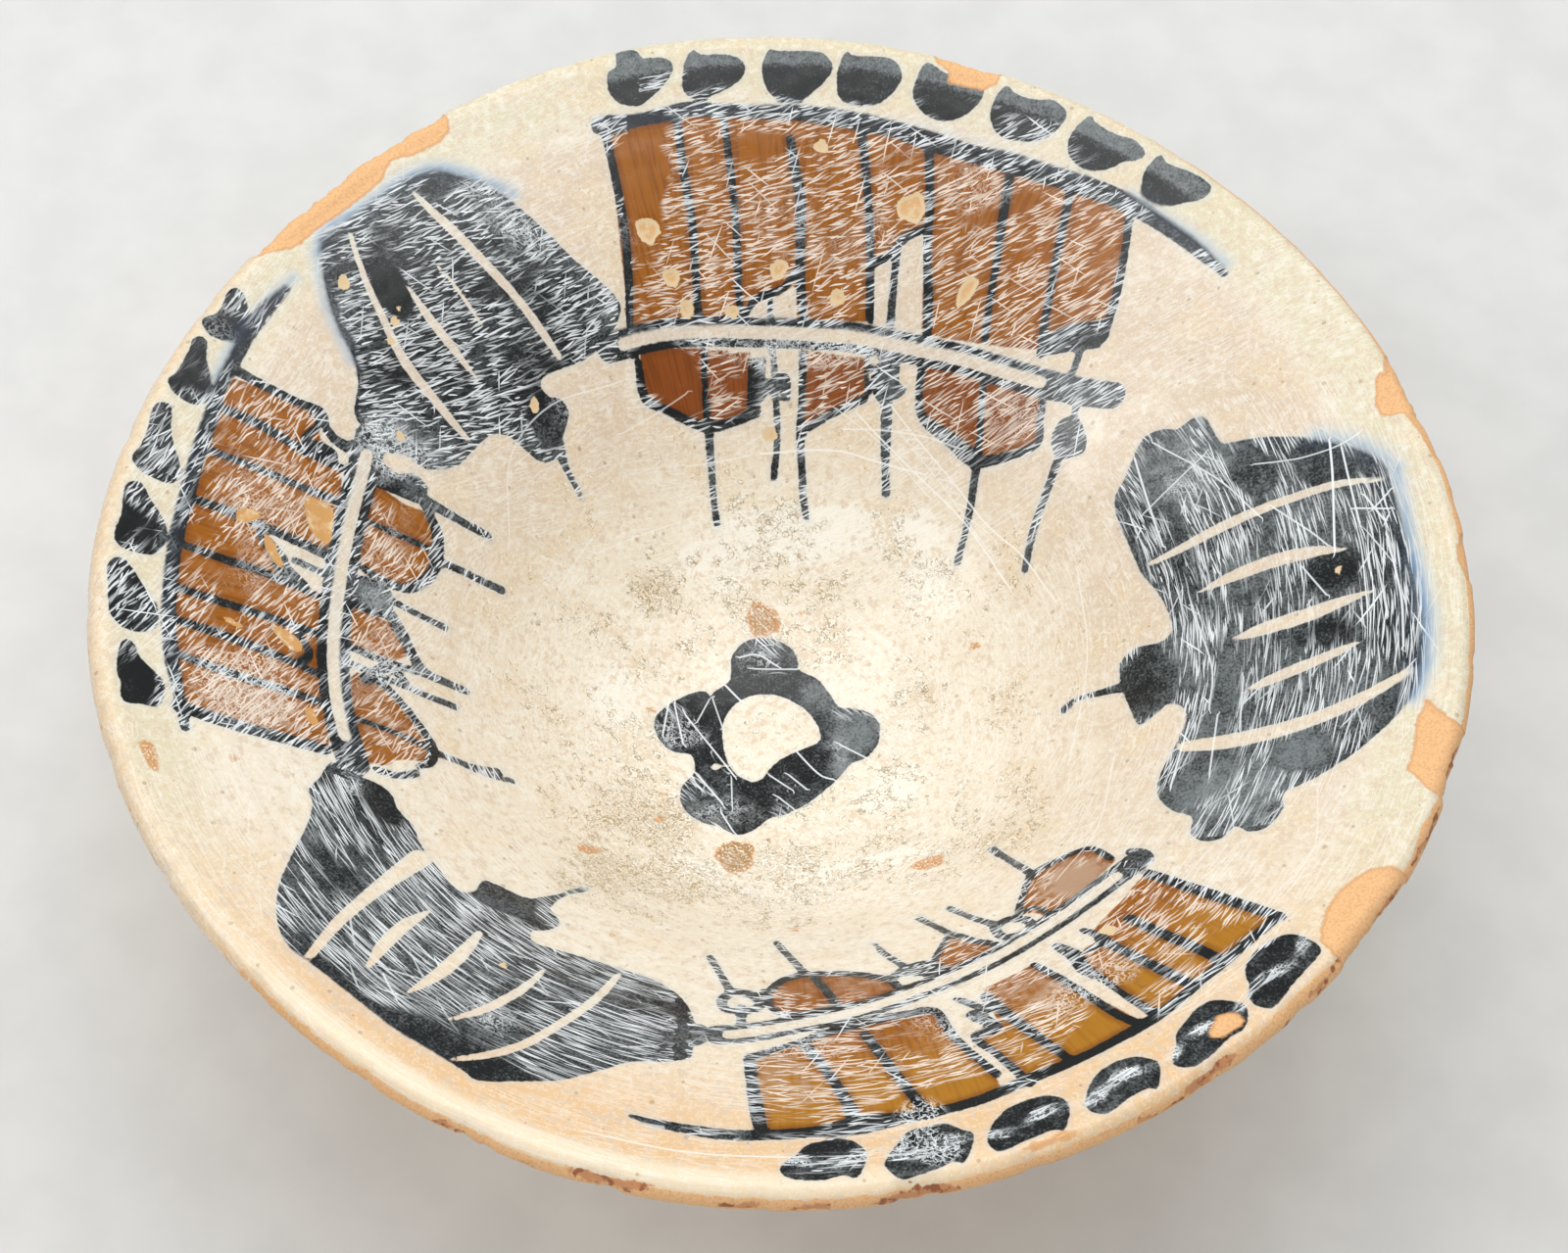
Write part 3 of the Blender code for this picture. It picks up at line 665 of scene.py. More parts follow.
# Glaze lost down to the bare clay
BARE = [
    plate(*polar((125.6, 134), (125.7, 126.5), (126.2, 124.2), (127.6, 123.1), (130.6, 123.2),
                 (132.6, 124.4), (133.6, 123.6), (134.6, 122.3), (137, 121.7), (140, 121.6), (142.5, 122),
                 (146, 122.2), (147.8, 124.2), (149.4, 126.4), (150, 134))),
    plate(*polar((71, 134), (71.3, 125.2), (72.4, 123.6), (75.8, 123.4), (76.0, 125.6), (77.4, 127),
                 (78.5, 134))),
    plate(*polar((11.6, 134), (12.4, 128.2), (15.2, 127.0), (17.3, 126.0), (18.0, 122.3), (19.2, 121.9),
                 (21.6, 124.0), (22.2, 125.6), (21.6, 126.2), (22.8, 127.0), (23.6, 128.2), (24.2, 134))),
    plate(*polar((-0.8, 134), (-0.2, 129.2), (0.4, 128.8), (1.6, 128.0), (2.6, 127.9), (3.6, 128.8),
                 (4.4, 129.4), (5, 134))),
    plate(*polar((338.2, 134), (338.5, 127), (339.6, 124.2), (340.1, 122.5), (342.6, 122.4), (345.3, 121.8),
                 (347.6, 122.9), (346.6, 124.6), (345.6, 127), (345, 134))),
    plate(*polar((320.9, 134), (321, 126.6), (321.3, 124.4), (322.6, 122.6), (324.6, 121.3), (326.2, 121.2),
                 (328, 122.2), (329.6, 123.8), (330.3, 126.4), (330.8, 134))),
    plate(*polar((290.4, 126.9), (291.4, 126.4), (292.4, 126.7), (293.6, 126.2), (294.8, 126.9),
                 (294.2, 127.6), (292.6, 127.2), (291.2, 127.5))),
    spot(79.5, -94.1, 3.3, 2.0, 40),
]
# Glaze worn thin, down to its tan
WORN = [
    spot(-31.7, 89.4, 2.6, 2.4), spot(-26.3, 81.8, 1.8), spot(-13.3, 77.5, 1.6, 1.2), spot(-22.9, 76.7, 1.6),
    spot(-3.8, 85.3, 2.1, 1.6, 40), spot(4, 107.8, 1.6, 1.2), spot(8.8, 80.8, 1.8, 1.4),
    spot(23.6, 96.2, 3.1, 2.8), spot(35.8, 80.2, 3.2, 1.6, 55), spot(-4.2, 58.4, 1.6, 1.3),
    spot(-91.7, 64.2, 1.2, 1.6), spot(-81.3, 59.6, 1.0), spot(-80.9, 62.4, 0.6), spot(-81.9, 55.5, 0.8),
    spot(-53.3, 53, 1.0, 1.5), spot(-78.8, 37.4, 0.8, 1.2), spot(107, 6.4, 0.6, 1.2), spot(-47.6, -80.8, 0.8),
    blob((-94.8, 17.6), (-92, 18), (-89.8, 17), (-89.4, 13), (-89.8, 9.4), (-92.6, 10.2), (-94.2, 13)),
    blob((-101.4, 6.6), (-100, 6.2), (-97.8, 2.6), (-97.2, 0.8), (-98.6, 1), (-100.6, 3.6)),
    blob((-97.6, -13), (-95, -12.8), (-92.2, -14.6), (-92, -16.8), (-94.4, -16.4), (-96.4, -14.8)),
    blob((-89.6, -28.8), (-87.8, -29.4), (-87, -32), (-88.4, -32.4)), spot(-104.6, 9.6, 2.4, 1.5, 30),
    spot(-104, -15, 2.2, 0.6, -20), spot(61.8, -68.4, 1.6, 1.2), spot(47, -105.8, 1.0),
]
# How far the amber runs in under the ink, in mm
AMBER_UNDER_INK = 0.5


# Share of its radius that a mark along the rim has at each of its points
MARK_SHARES = (0.5, 1.0, 0.7, 1.0, 0.4)


def rim_mark(start, end, reach, radius):
    """Uneven mark along the rim between two angles, as far as reach from the axis."""
    last = len(MARK_SHARES) - 1
    places = polar(*[(start + (end - start) * t / last, reach + 0.3 * math.sin(start + 5 * t))
                     for t in range(last + 1)])
    return brush(*[(x, y, radius * share) for (x, y), share in zip(places, MARK_SHARES)])


# Bruised places on the near lip
BRUISES = [rim_mark(*mark) for mark in (
    (244.6, 247.8, 130.0, 0.6), (255.4, 262.2, 129.4, 0.6), (267.0, 270.4, 130.2, 0.4),
    (278.6, 285.0, 130.1, 0.9), (281.2, 282.3, 128.4, 0.35), (304.2, 309.0, 128.7, 0.8),
    (299.6, 304.0, 129.4, 0.3), (317.0, 321.8, 129.0, 0.4), (248.6, 253.0, 130.4, 0.4),
    (271.6, 276.0, 130.5, 0.45), (286.6, 297.0, 130.3, 0.4), (310.4, 315.6, 130.2, 0.45),
    (212.0, 216.0, 130.6, 0.35), (222.0, 226.6, 130.7, 0.45), (331.6, 337.6, 130.0, 0.4),
    (323.0, 329.8, 130.2, 0.45), (234.0, 236.4, 130.8, 0.6), (340.0, 344.0, 130.6, 0.6),
    (137.0, 146.0, 131.2, 0.6), (16.0, 21.0, 131.0, 0.6),
)]


# Rails: points, half width of the black and of the cream inside it, and the last points without cream
RAILS = ((TOP_RAIL, 2.5, 1.1, 3), (LEFT_RAIL, 2.9, 1.15, 1), (BOTTOM_RAIL, 2.5, 1.15, 1))


def paint_fields(xy):
    """Signed distances in mm to each layer of the painting, for plan points in mm."""
    black = [stroke(points, wide) for points, wide, narrow, end in RAILS]
    inside = [stroke(points, narrow)[2:-OUTLINE_STEPS * end] for points, wide, narrow, end in RAILS]
    ink = layer(xy, TOP_INK + LEFT_INK + BOTTOM_INK + BARRELS + BEAKS + black + RIM_DOTS + FLOWER)
    cream = layer(xy, inside + SLITS + FLOWER_HOLE)
    gaps = layer(xy, TOP_CREAM + LEFT_CREAM + BOTTOM_CREAM)
    amber = layer(xy, TOP_AMBER + LEFT_AMBER + BOTTOM_AMBER) - AMBER_UNDER_INK
    return {
        "ink": np.maximum(ink, -cream),
        "amber": np.maximum(np.maximum(amber, -gaps), -cream),
        "bare": layer(xy, BARE),
        "worn": layer(xy, WORN),
        "bruised": layer(xy, BRUISES),
    }


# Half width of a line that cobalt bleeds from, which carries the bleeding that much beyond MARGIN
HALO_CORE = 1.0
# Where cobalt has bled out of the black: strength, reach in mm and the line it bleeds from
HALOS = (
    (1.0, 4.6, ((119.8, 6), (120.9, -4), (121.0, -12), (119.8, -19), (117.5, -25))),
    (0.85, 3.6, ((118.2, 26), (119.4, 14), (120.4, 4))),
    (0.75, 5.0, ((104, 36.5), (111, 33.2), (116.5, 28), (118.2, 22))),
    (0.85, 3.8, ((-60, 91), (-72.5, 92.6), (-80, 89.5), (-88, 81.5), (-96, 73.4), (-97, 68))),
    (0.65, 3.4, ((-97, 66), (-94, 57), (-89, 49))),
    (0.65, 3.6, ((68, 94), (75, 88.5), (82, 82.5), (87.5, 76.5))),
    (0.65, 3.2, ((-101, 62), (-106, 55), (-110.5, 46), (-113.5, 36))),
    (0.35, 2.6, ((-113.5, 36), (-116, 12), (-116.5, -12), (-112, -34))),
    (0.35, 2.6, ((-42, 108), (-10, 115), (20, 112.6), (40, 106.6), (60, 98.2))),
    (0.25, 2.6, ((-84, -86.5), (-70, -97), (-55, -106))),
    (0.25, 2.4, ((-60, -64), (-38, -67))),
    (0.2, 2.4, ((86, 39), (96, 37.5), (104, 36))),
    (0.3, 2.4, ((-38, 70), (0, 77), (40, 68), (64, 58))),
    (0.3, 2.2, ((-84, 34), (-88, 5), (-80, -38))),
)

# Rust and earth stains on the cream: x, y, size across and along, turn in degrees, strength
STAINS = (
    (-4.2, 24.4, 3.6, 3.7, 10, 1.0), (-7.5, -34.2, 3.6, 4.6, -10, 1.7), (-36.3, -40.4, 2.6, 1.7, 20, 0.7),
    (30.8, -38.3, 3.6, 1.9, 10, 0.7), (3.8, 26.2, 1.0, 0.7, 30, 0.8), (5, -57.5, 1.3, 1.0, 0, 0.6),
    (40.4, 15, 1.4, 1.1, 0, 0.55), (-29.2, -66.7, 1.2, 1.0, 0, 0.5), (-23.3, -26.3, 1.3, 1.1, 0, 0.7),
    (-26.5, 0.9, 0.9, 0.6, 0, 0.8), (-4.3, 58.4, 1.6, 1.3, 0, 0.7), (12.4, -27.5, 0.7, 0.6, 0, 0.7),
    (-113.2, -49.6, 1.5, 3.8, 25, 0.6), (-117, -45.5, 1.8, 4.2, 20, 0.3), (-99.5, -45.5, 1.4, 1.2, 0, 0.45),
    (-55, -91.5, 2.2, 1.4, -30, 0.35), (16.5, -21, 1.3, 1.0, 0, 0.4), (-23, -19.5, 1.6, 1.2, 20, 0.4),
    (45, -31, 1.2, 1.0, 0, 0.4), (-31.5, 31, 1.2, 0.9, 0, 0.35),
)

# Earth ground into the glaze: x, y, half width, half height, turn in degrees, strength
DIRT = (
    (0, 36, 30, 16, 0, 0.45), (-27, 27, 10, 8, 20, 1.0), (-20, 31, 24, 12, 15, 0.5),
    (14, 33, 30, 18, -10, 0.4), (34, 24, 20, 20, 0, 0.4), (-30, -27, 22, 13, -20, 0.9),
    (-24, -42, 28, 15, -20, 1.0), (-34, -52, 18, 10, -30, 0.6), (14, -37, 40, 14, 5, 0.7),
    (40, -30, 22, 14, 30, 0.4), (-40, 0, 22, 36, 0, 0.3), (30, 0, 30, 40, 0, 0.35), (-4, -50, 40, 14, 0, 0.5),
    (0, 0, 70, 66, 0, 0.25),
)

# Places where the cream is nearly white: its own whiter slip, with a painted sheen of the glaze over the top
# of the well
WHITE_AND_SHEEN = (
    (0, -6, 62, 56, 0, 0.6), (4, -40, 44, 16, 0, 0.9), (2, 41, 27, 8, 0, 1.4), (-14, 33, 18, 8, 15, 1.0),
    (30, 30, 10, 14, 30, 0.9), (0, 0, 14, 12, 0, 0.6), (-30, -10, 20, 26, 0, 0.5), (7, 43, 15, 5, 4, 2.2),
    (-17, 36, 9, 5, 20, 1.8), (24, -16, 13, 8, 30, 1.3), (18, -37, 22, 5, 14, 1.7),
    (-17, -39, 11, 5, -12, 1.4), (-34, 2, 9, 12, 0, 1.2), (28, 40, 8, 5, -30, 1.4), (30, -22, 26, 22, 0, 0.5),
)

# How grey and how scratched the paint is in places: x, y, half width, half height, turn, grey, scratched
MOODS = (
    (-33, 98, 7, 15, 5, 0.02, 0.40), (-17, 90, 6, 20, 5, 0.30, 1.0), (8, 94, 9, 20, 0, 0.35, 1.0),
    (36, 90, 8, 20, 0, 0.25, 0.95), (58, 82, 9, 18, 0, 0.25, 0.9), (-25, 64, 10, 8, 0, 0.0, 0.35),
    (40, 57, 16, 9, -20, 0.45, 1.1), (10, 66, 8, 8, 0, 0.30, 0.7), (-100, 0, 16, 45, 0, 0.42, 1.0),
    (-98, -32, 12, 8, 0, 1.0, 1.0), (-106, 4, 6, 12, 0, 0.0, 0.8), (-77, 18, 8, 10, 0, 0.4, 0.8),
    (-76, -27, 8, 9, 0, 0.6, 0.8), (4, -103, 9, 9, 0, 0.75, 0.9), (24, -95, 12, 12, 0, 0.35, 0.9),
    (46, -81, 10, 8, -35, 0.75, 0.9), (58, -95, 16, 4.5, 38, 0.0, 0.3), (30, -107, 14, 4, 18, 0.1, 0.45),
    (82, -74, 12, 5, 42, 0.05, 0.4), (57, -53, 9, 7, 40, 1.3, 0.6), (15, -78, 12, 6, 0, 0.6, 0.6),
    (-68, 62, 38, 34, 40, 0.0, 0.94), (-60, 86, 16, 7, -32, 0.2, 0.95), (-82, 65, 7, 5, -55, -0.3, 0.1),
    (-80.5, 2, 4, 5, 0, 0.9, 0.5), (-61, 52, 9, 14, 25, 0.0, 1.0), (-92, 52, 4, 12, 18, 0.35, 0.5),
    (-76, 38, 11, 5, 0, 0.55, 0.8), (-50, 50, 6, 7, 0, 0.0, 0.3), (95, 0, 34, 54, 0, 0.46, 0.82),
    (79, 38, 14, 11, 10, 0.62, 0.62), (100, 31, 18, 6, -14, 0.28, 0.4), (72, -7, 6, 10, 0, 0.08, 0.4),
    (104, -7, 7, 5, 0, 0.05, 0.6), (107, 7, 7, 6, 0, 0.1, 0.6), (85, -39, 15, 12, 0, 0.75, 0.75),
    (98, -33, 6, 6, 0, 0.85, 0.2), (116, 0, 5, 30, 0, 0.0, 1.1), (-60, -82, 38, 28, -40, 0.28, 1.08),
    (-74, -47, 7, 10, 20, 0.05, 0.55), (-50, -62, 10, 6, 10, 0.35, 0.4),
    (-56, -103, 22, 5.5, -27, 0.05, 0.52), (-78, -89, 14, 4.5, -50, 0.05, 0.58),
    (-45, -93, 12, 8, -25, 0.2, 0.6), (-28, -92, 12, 8, -10, 0.5, 0.95), (-84, -70, 5, 14, 10, 0.3, 1.2),
    (-2, -2, 32, 32, 0, 0.04, 0.42), (16, -1, 8, 9, 0, 0.85, 0.35), (9, 8, 6, 6, 0, 0.6, 0.35),
    (14, -10, 4, 4, 0, 0.9, 0.3), (-11, -20, 8, 7, 0, 0.3, 0.45),
)

# The paint elsewhere
GREY_ELSEWHERE = 0.25
SCRATCHED_ELSEWHERE = 0.95

# Parts of the rim marks: the angles they lie between in degrees, and the reach in mm at which they
# begin and are full
RIM_BELOW = (40, 112, 115.6, 117)
# Outer ends of the back rim marks, where their grey paints a reflection of light on the glaze
RIM_BACK_PAINTED_REFLECTION = (44, 112, 121.8, 122.6)
RIM_FRONT = (268, 326, 117.5, 118)
RIM_LEFT = (140, 205, 118.5, 119.5)
# Their moods: part, grey, scratched. The grey on the back part is a painted reflection of light on the glaze.
RIM_MOODS = ((RIM_BELOW, -0.12, 0.64), (RIM_BACK_PAINTED_REFLECTION, 0.62, 0.3), (RIM_FRONT, 0.08, 0.3), (RIM_LEFT, -0.3, 0.7))
SCUFFED_LEFT = 0.28

# Belt of wear along the front rim marks: mm from the axis, how far it sways, and where it begins to
# fade and ends beside its middle
BELT_REACH = 122.0
BELT_SWAY = 0.8
BELT_EDGE = (0.7, 1.7)

# How golden the amber is, from 0 to 1, where it is plain brown
AMBER_TONE = 0.42

# Places scuffed all over with short curls: x, y, half width, half height, turn in degrees, strength
SCUFFS = (
    (-100, -28, 14, 14, 0, 0.9), (-80, 34, 11, 8, 0, 0.8), (-77, -14, 8, 6, 0, 0.7),
    (-100, 10, 16, 30, 0, 0.45), (-80, 0, 8, 40, 0, 0.5), (28, -118, 8, 5, -15, 1.1),
    (27, -111, 6, 6, 0, 1.0), (-62, 88, 18, 7, -32, 0.5), (33, -86, 12, 10, 0, 0.6), (8, -94, 12, 6, 0, 0.6),
    (57, -82, 14, 8, 40, 0.7), (-48, 57, 8, 7, 0, 0.5), (36, 100, 12, 10, 0, 0.4), (47, 56, 12, 7, -20, 0.6),
    (8, 92, 26, 18, 0, 0.3), (0, 72, 40, 5, 0, 0.6), (-20, -2, 9, 9, 0, 0.6), (-8, -22, 11, 8, 0, 0.5),
    (-6, 15, 6, 6, 0, 0.6), (14, -4, 9, 11, 0, 0.3), (88, -38, 16, 12, 0, 0.2), (80, 36, 14, 10, 0, 0.3),
    (-80, -46, 5, 8, 0, 0.5), (-48, -94, 10, 6, -30, 0.5),
)

# Single long scratches: half width in mm, brightness, and the points they run through
LONG_SCRATCHES = (
    (0.2, 0.8, (-6, 55.2), (3.4, 56.1), (11, 55.8), (18, 53.8), (28.8, 50.2)),
    (0.16, 0.7, (11, 59.4), (19.5, 58.6), (28.8, 56.3), (36, 53)),
    (0.18, 0.8, (14, 61.7), (27, 50.5), (38, 39.4), (47.2, 24.8)),
    (0.18, 0.75, (21, 62.5), (34, 48.6), (42, 38.5), (49.5, 30.2), (56, 19)),
    (0.14, 0.6, (24, 57), (33, 47), (43, 33)), (0.14, 0.6, (9, 63), (20, 56), (30, 46)),
    (0.14, 0.6, (-22, 51), (-8.2, 54.8)), (0.14, 0.55, (-39.7, 31), (-30, 37.5), (-18.9, 43.2)),
    (0.16, 0.6, (-57, 27), (-57.5, 42), (-50, 54), (-36, 62)), (0.14, 0.55, (-36, 53), (-22, 63)),
    (0.14, 0.5, (-46, 6), (-47, 20), (-41, 33)), (0.14, 0.5, (38, 12), (40, -8), (36, -24)),
    (0.14, 0.5, (45, -6), (44, -20), (39, -34)), (0.16, 0.6, (60, 24), (62, 4), (58, -20)),
    (0.16, 0.6, (66, -22), (62, -40), (54, -52)), (0.14, 0.5, (100, -42), (98, -56), (90, -66)),
    (0.18, 0.7, (93, 33.9), (98, 33.1), (102.3, 32.8), (108, 33.5), (112, 35.2)),
    (0.22, 1.0, (106.6, 35), (106.9, 26), (106.6, 10.5)), (0.2, 0.9, (108.7, 33.1), (111.2, 16)),
    (0.18, 0.8, (95.9, 23.9), (102.3, 16.7), (105.4, 12.6)), (0.2, 0.9, (110.5, 19.2), (116.6, 17.4)),
    (0.2, 0.9, (112.3, 21.7), (115.5, 15.3)), (0.2, 0.9, (117, 21.4), (113.7, 18.1)),
    (0.18, 0.8, (100.9, 8.9), (104.8, 1.4)), (0.18, 0.8, (81, 7), (84, -8), (83, -18)),
    (0.2, 0.9, (79.4, -19.7), (75.1, -34.7)), (0.18, 0.8, (84.4, -19.7), (82, -34)),
    (0.18, 0.8, (89.4, -12), (88, -24)), (0.2, 0.9, (70.5, 42), (76, 22)),
    (0.16, 0.8, (74, 44), (86, 33), (94, 22)), (0.16, 0.8, (72, 30), (84, 39)),
    (0.2, 0.9, (115.8, 12), (117.4, -2), (117, -14)), (0.18, 0.8, (113.6, 8), (115, -6)),
    (0.2, 0.9, (-23, 4.2), (-23.9, -4.5)), (0.2, 0.9, (-22, 4), (-19.5, -6)),
    (0.2, 0.9, (-20, 2), (-13, -6.5), (-8.4, -12.5)), (0.16, 0.8, (-14.6, 6), (-17, 0)),
    (0.16, 0.8, (-14, 6), (-11.6, -0.5)), (0.22, 0.9, (-11.4, 9.4), (-8.2, 6.3)),
    (0.24, 0.9, (-16.5, -12.5), (-10.5, -20)), (0.2, 0.9, (-11.2, -21.5), (-8, -27.4)),
    (0.16, 0.8, (-9.2, -13), (-8.7, -20.5)), (0.2, 0.9, (4, -5.2), (9, -11), (12, -12.3)),
    (0.2, 0.8, (-1.5, -11.3), (3.5, -15)), (0.2, 0.8, (2.5, -11), (6.5, -14.8)),
    (0.2, 0.8, (0.2, -16.5), (4, -20)), (0.2, 0.8, (12.5, -3.2), (19.5, -7.8)),
    (0.16, 0.8, (-6, 13.8), (3.6, 14.2)), (0.2, 0.8, (-9, 16), (-5, 17), (-0.5, 14.6)),
    (0.2, 0.7, (-118, -62), (-104, -80), (-88, -95)), (0.2, 0.7, (-30, -118), (-12, -121), (8, -121)),
)

LONG_SETS = 4
LONG_APART = 6.0  # mm, as far apart as two of a set need to be
LONG_REACH = 1.4  # mm, how far from a long scratch the distance to it is kept

# Bites out of the lip: angle in degrees, half length in degrees, depth in mm
CHIPS = (
    (127, 2.2, 0.5), (132, 3.0, 0.6), (140, 4.5, 0.9), (147, 3.0, 0.5), (156, 1.5, 0.3), (171, 1.2, 0.35),
    (188, 1.6, 0.25), (203, 2.0, 0.35), (214, 1.3, 0.4), (227, 1.6, 0.3), (238, 1.2, 0.4), (247.5, 2.6, 0.7),
    (258.5, 2.0, 0.7), (270, 1.0, 0.3), (282, 2.4, 0.6), (291, 1.4, 0.35), (306.5, 2.4, 0.25),
    (316, 1.6, 0.4), (325, 4.0, 0.5), (341, 3.2, 0.5), (352, 1.4, 0.3), (8, 1.6, 0.25), (18.5, 3.6, 0.6),
    (33, 1.4, 0.2), (52, 1.2, 0.2), (74, 2.0, 0.35), (96, 1.2, 0.2), (112, 1.5, 0.3),
)
# Where on the lip they begin, are full, begin to fade and end, in mm unrolled from the axis
CHIP_EDGE = (126, 130, 133, 138)

# Hollows in the glaze: depth, and how far inside its edge each begins and is full, in mm
HOLLOWS = {"bare": (0.4, -0.1, 0.9), "worn": (0.25, 0.0, 0.9), "bruised": (0.25, -0.2, 0.5)}

THROWING_DEPTH = 0.05
THROWING_STEP = 5.4
THROWING_DRIFT = 17.0  # mm, over which the step grows and shrinks

# Unevenness of the lip: size and height of its lumps, and where it begins and is full, in mm
LUMPS = ((9.0, 0.11, 118, 128), (2.6, 0.10, 126.5, 129))

# Height in mm above the floor where the glaze ends on the outside, its waves as count, height and
# phase, and how far its runs reach below
GLAZE_END = 21.0
GLAZE_WAVES = ((2, 2.2, 0.8), (5, 1.2, 0.0))
GLAZE_RUN = 6.5

# Share of glaze rubbed off the lip: middle angle and half length in degrees, share
WORN_LIP = ((280, 70, 0.95), (340, 30, 0.95), (20, 46, 0.9), (138, 16, 1.0), (75, 8, 0.5), (185, 40, 0.4))
WORN_ELSEWHERE = 0.12
# Where that clay begins: angle in degrees, mm from the axis
LIP_LINE = (
    (-60, 129.1), (-49, 128.8), (-46, 128.0), (-41, 128.0), (-38, 128.8), (-28, 128.7), (-25.5, 127.9),
    (-23, 128.3), (-21, 128.6), (-14, 128.9), (-5, 128.5), (0, 128.2), (10, 128.1), (14, 127.4), (18, 127.0),
    (23, 128.2), (28, 128.5), (60, 128.4), (80, 129.1),
)


def patch(xy, x, y, across, up, turn):
    """1 in the middle of an oval, fading to 0 at its edge."""
    c, s = math.cos(math.radians(turn)), math.sin(math.radians(turn))
    u = ((xy[:, 0] - x) * c + (xy[:, 1] - y) * s) / across
    v = ((xy[:, 1] - y) * c - (xy[:, 0] - x) * s) / up
    return 1 - smooth(np.hypot(u, v), 0.25, 1.1)


def patches(xy, places):
    """Strongest of several ovals at each plan point."""
    share = np.zeros(len(xy))
    for *oval, strength in places:
        share = np.maximum(share, strength * patch(xy, *oval))
    return share


def degrees_from(turn, middle):
    """Degrees round the bowl from one angle to each vertex, between -180 and 180."""
    return (np.degrees(turn) - middle + 180) % 360 - 180


def glaze_end(turn):
    """Height at which the glaze ends on the outside, with its runs."""
    runs = smooth(np.sin(7 * turn + 2 * np.sin(turn)), 0.55, 1.0)
    waves = sum(height * np.sin(count * turn + phase) for count, height, phase in GLAZE_WAVES)
    return GLAZE_END + waves - GLAZE_RUN * runs


def relief(grid, paint):
    """How far each vertex stands out of the plain section, in mm."""
    reach, turn = grid["reach"], grid["turn"]
    rise = np.zeros(len(reach))
    for name, (depth, begins, full) in HOLLOWS.items():
        rise -= depth * smooth(-paint[name], begins, full)
    rings = np.sin(math.tau * reach / THROWING_STEP + 1.3 * np.sin(turn) + 2 * np.sin(reach / THROWING_DRIFT))
    ringed = smooth(reach, 12, 30) * (0.35 + 0.65 * smooth(-grid["plan"] @ (0.5, 0.8), 0, 90))
    rise += THROWING_DEPTH * rings * ringed * np.where(grid["outside"], 2.0, 1 - smooth(reach, 112, 122))
    edge = between(reach, *CHIP_EDGE)
    for angle, half, depth in CHIPS:
        off = degrees_from(turn, angle)
        ragged = 0.75 + 0.25 * np.sin(off * 2.9 + angle) + 0.2 * np.sin(off * 7.1 + 2 * angle)
        rise -= depth * ragged * edge * (1 - smooth(np.abs(off), 0.45 * half, half))
    return rise * np.where(grid["outside"], smooth(grid["height"], FOOT_HEIGHT + 1, FOOT_HEIGHT + 4), 1)


def lumps(grid, size, height, begins, full):
    """Gentle unevenness of hand work beyond a reach, in mm."""
    share = smooth(grid["reach"], begins, full)
    rise = np.zeros(len(share))
    for i in np.flatnonzero(share > 0):
        rise[i] = noise.noise(Vector(grid["place"][i] / size))
    return rise * height * share * (grid["height"] > FOOT_HEIGHT + 2)


def bled(xy):
    """Strength of the cobalt bleeding at each plan point."""
    share = np.zeros(len(xy))
    for strength, reach, points in HALOS:
        line = stroke(points, HALO_CORE)
        ids = near(xy, line[:, :2], MARGIN + HALO_CORE)
        gap = stroke_distance(xy[ids], line) + HALO_CORE
        share[ids] = np.maximum(share[ids], strength * (1 - np.clip(gap / reach, 0, 1))**1.5)
    return share


def stained(xy):
    """Strength of the stains at each plan point."""
    share = np.zeros(len(xy))
    for x, y, across, length, turn, strength in STAINS:
        outline = spot(x, y, across, length, turn)
        ids = near(xy, outline, MARGIN)
        gap = outline_distance(xy[ids], outline)
        share[ids] = np.maximum(share[ids], strength * (1 - smooth(gap, -0.5, 0.45)))
    return share


def rim_area(grid, start, end, begins, full):
    """1 on the rim marks between two angles in degrees, eased in at a reach in mm."""
    turn = np.degrees(grid["turn"])
    return smooth(grid["reach"], begins, full) * (turn > start) * (turn < end)


def moods(grid):
    """How grey, how scratched and how scuffed the paint is at each vertex; the grey on the back rim marks is
    a painted reflection.
    """
    plan, reach, turn = grid["plan"], grid["reach"], grid["turn"]
    grey = np.full(len(turn), GREY_ELSEWHERE)
    scratched = np.full(len(turn), SCRATCHED_ELSEWHERE)
    areas = [(patch(plan, *oval), greyer, marked) for *oval, greyer, marked in MOODS]
    areas += [(rim_area(grid, *area), greyer, marked) for area, greyer, marked in RIM_MOODS]
    for share, greyer, marked in areas:
        grey += (greyer - grey) * share
        scratched += (marked - scratched) * share
    middle = BELT_REACH + BELT_SWAY * np.sin(50 * turn)
    belt = rim_area(grid, *RIM_FRONT) * (1 - smooth(np.abs(reach - middle), *BELT_EDGE))
    belt *= 0.7 + 0.3 * np.sin(90 * turn)
    scuffed = np.maximum(patches(plan, SCUFFS), belt)
    scuffed += (SCUFFED_LEFT - scuffed) * rim_area(grid, *RIM_LEFT)
    return grey + 0.5 * belt, scratched + 0.95 * belt, scuffed


# Flat map of the scratches: where it is cut open, and the radius at which its length is true
SEAM = math.radians(202.5)
SCRATCH_RADIUS = 95.0
# Degrees round from the seam, and how far the map is squeezed there, which makes its scratches longer
LANES = ((56, 0.5), (66, 1.0), (68, 0.6), (170, 1.0))
# How much closer the scratches are on the right and the near left barrel
CLOSER = 1.3
# Slopes of the scratches where they run straight over the plan instead of round the bowl
UPPER_SLANT = math.radians(18.0)
BARREL_SLANT = math.radians(33.0)
LEFT_SLANT = math.radians(62.0)
INNER_SLANT = math.radians(-42.0)
# A face that spans more of the map than this, in mm, lies across a cut in it and shows no scratches
TORN = 12.0


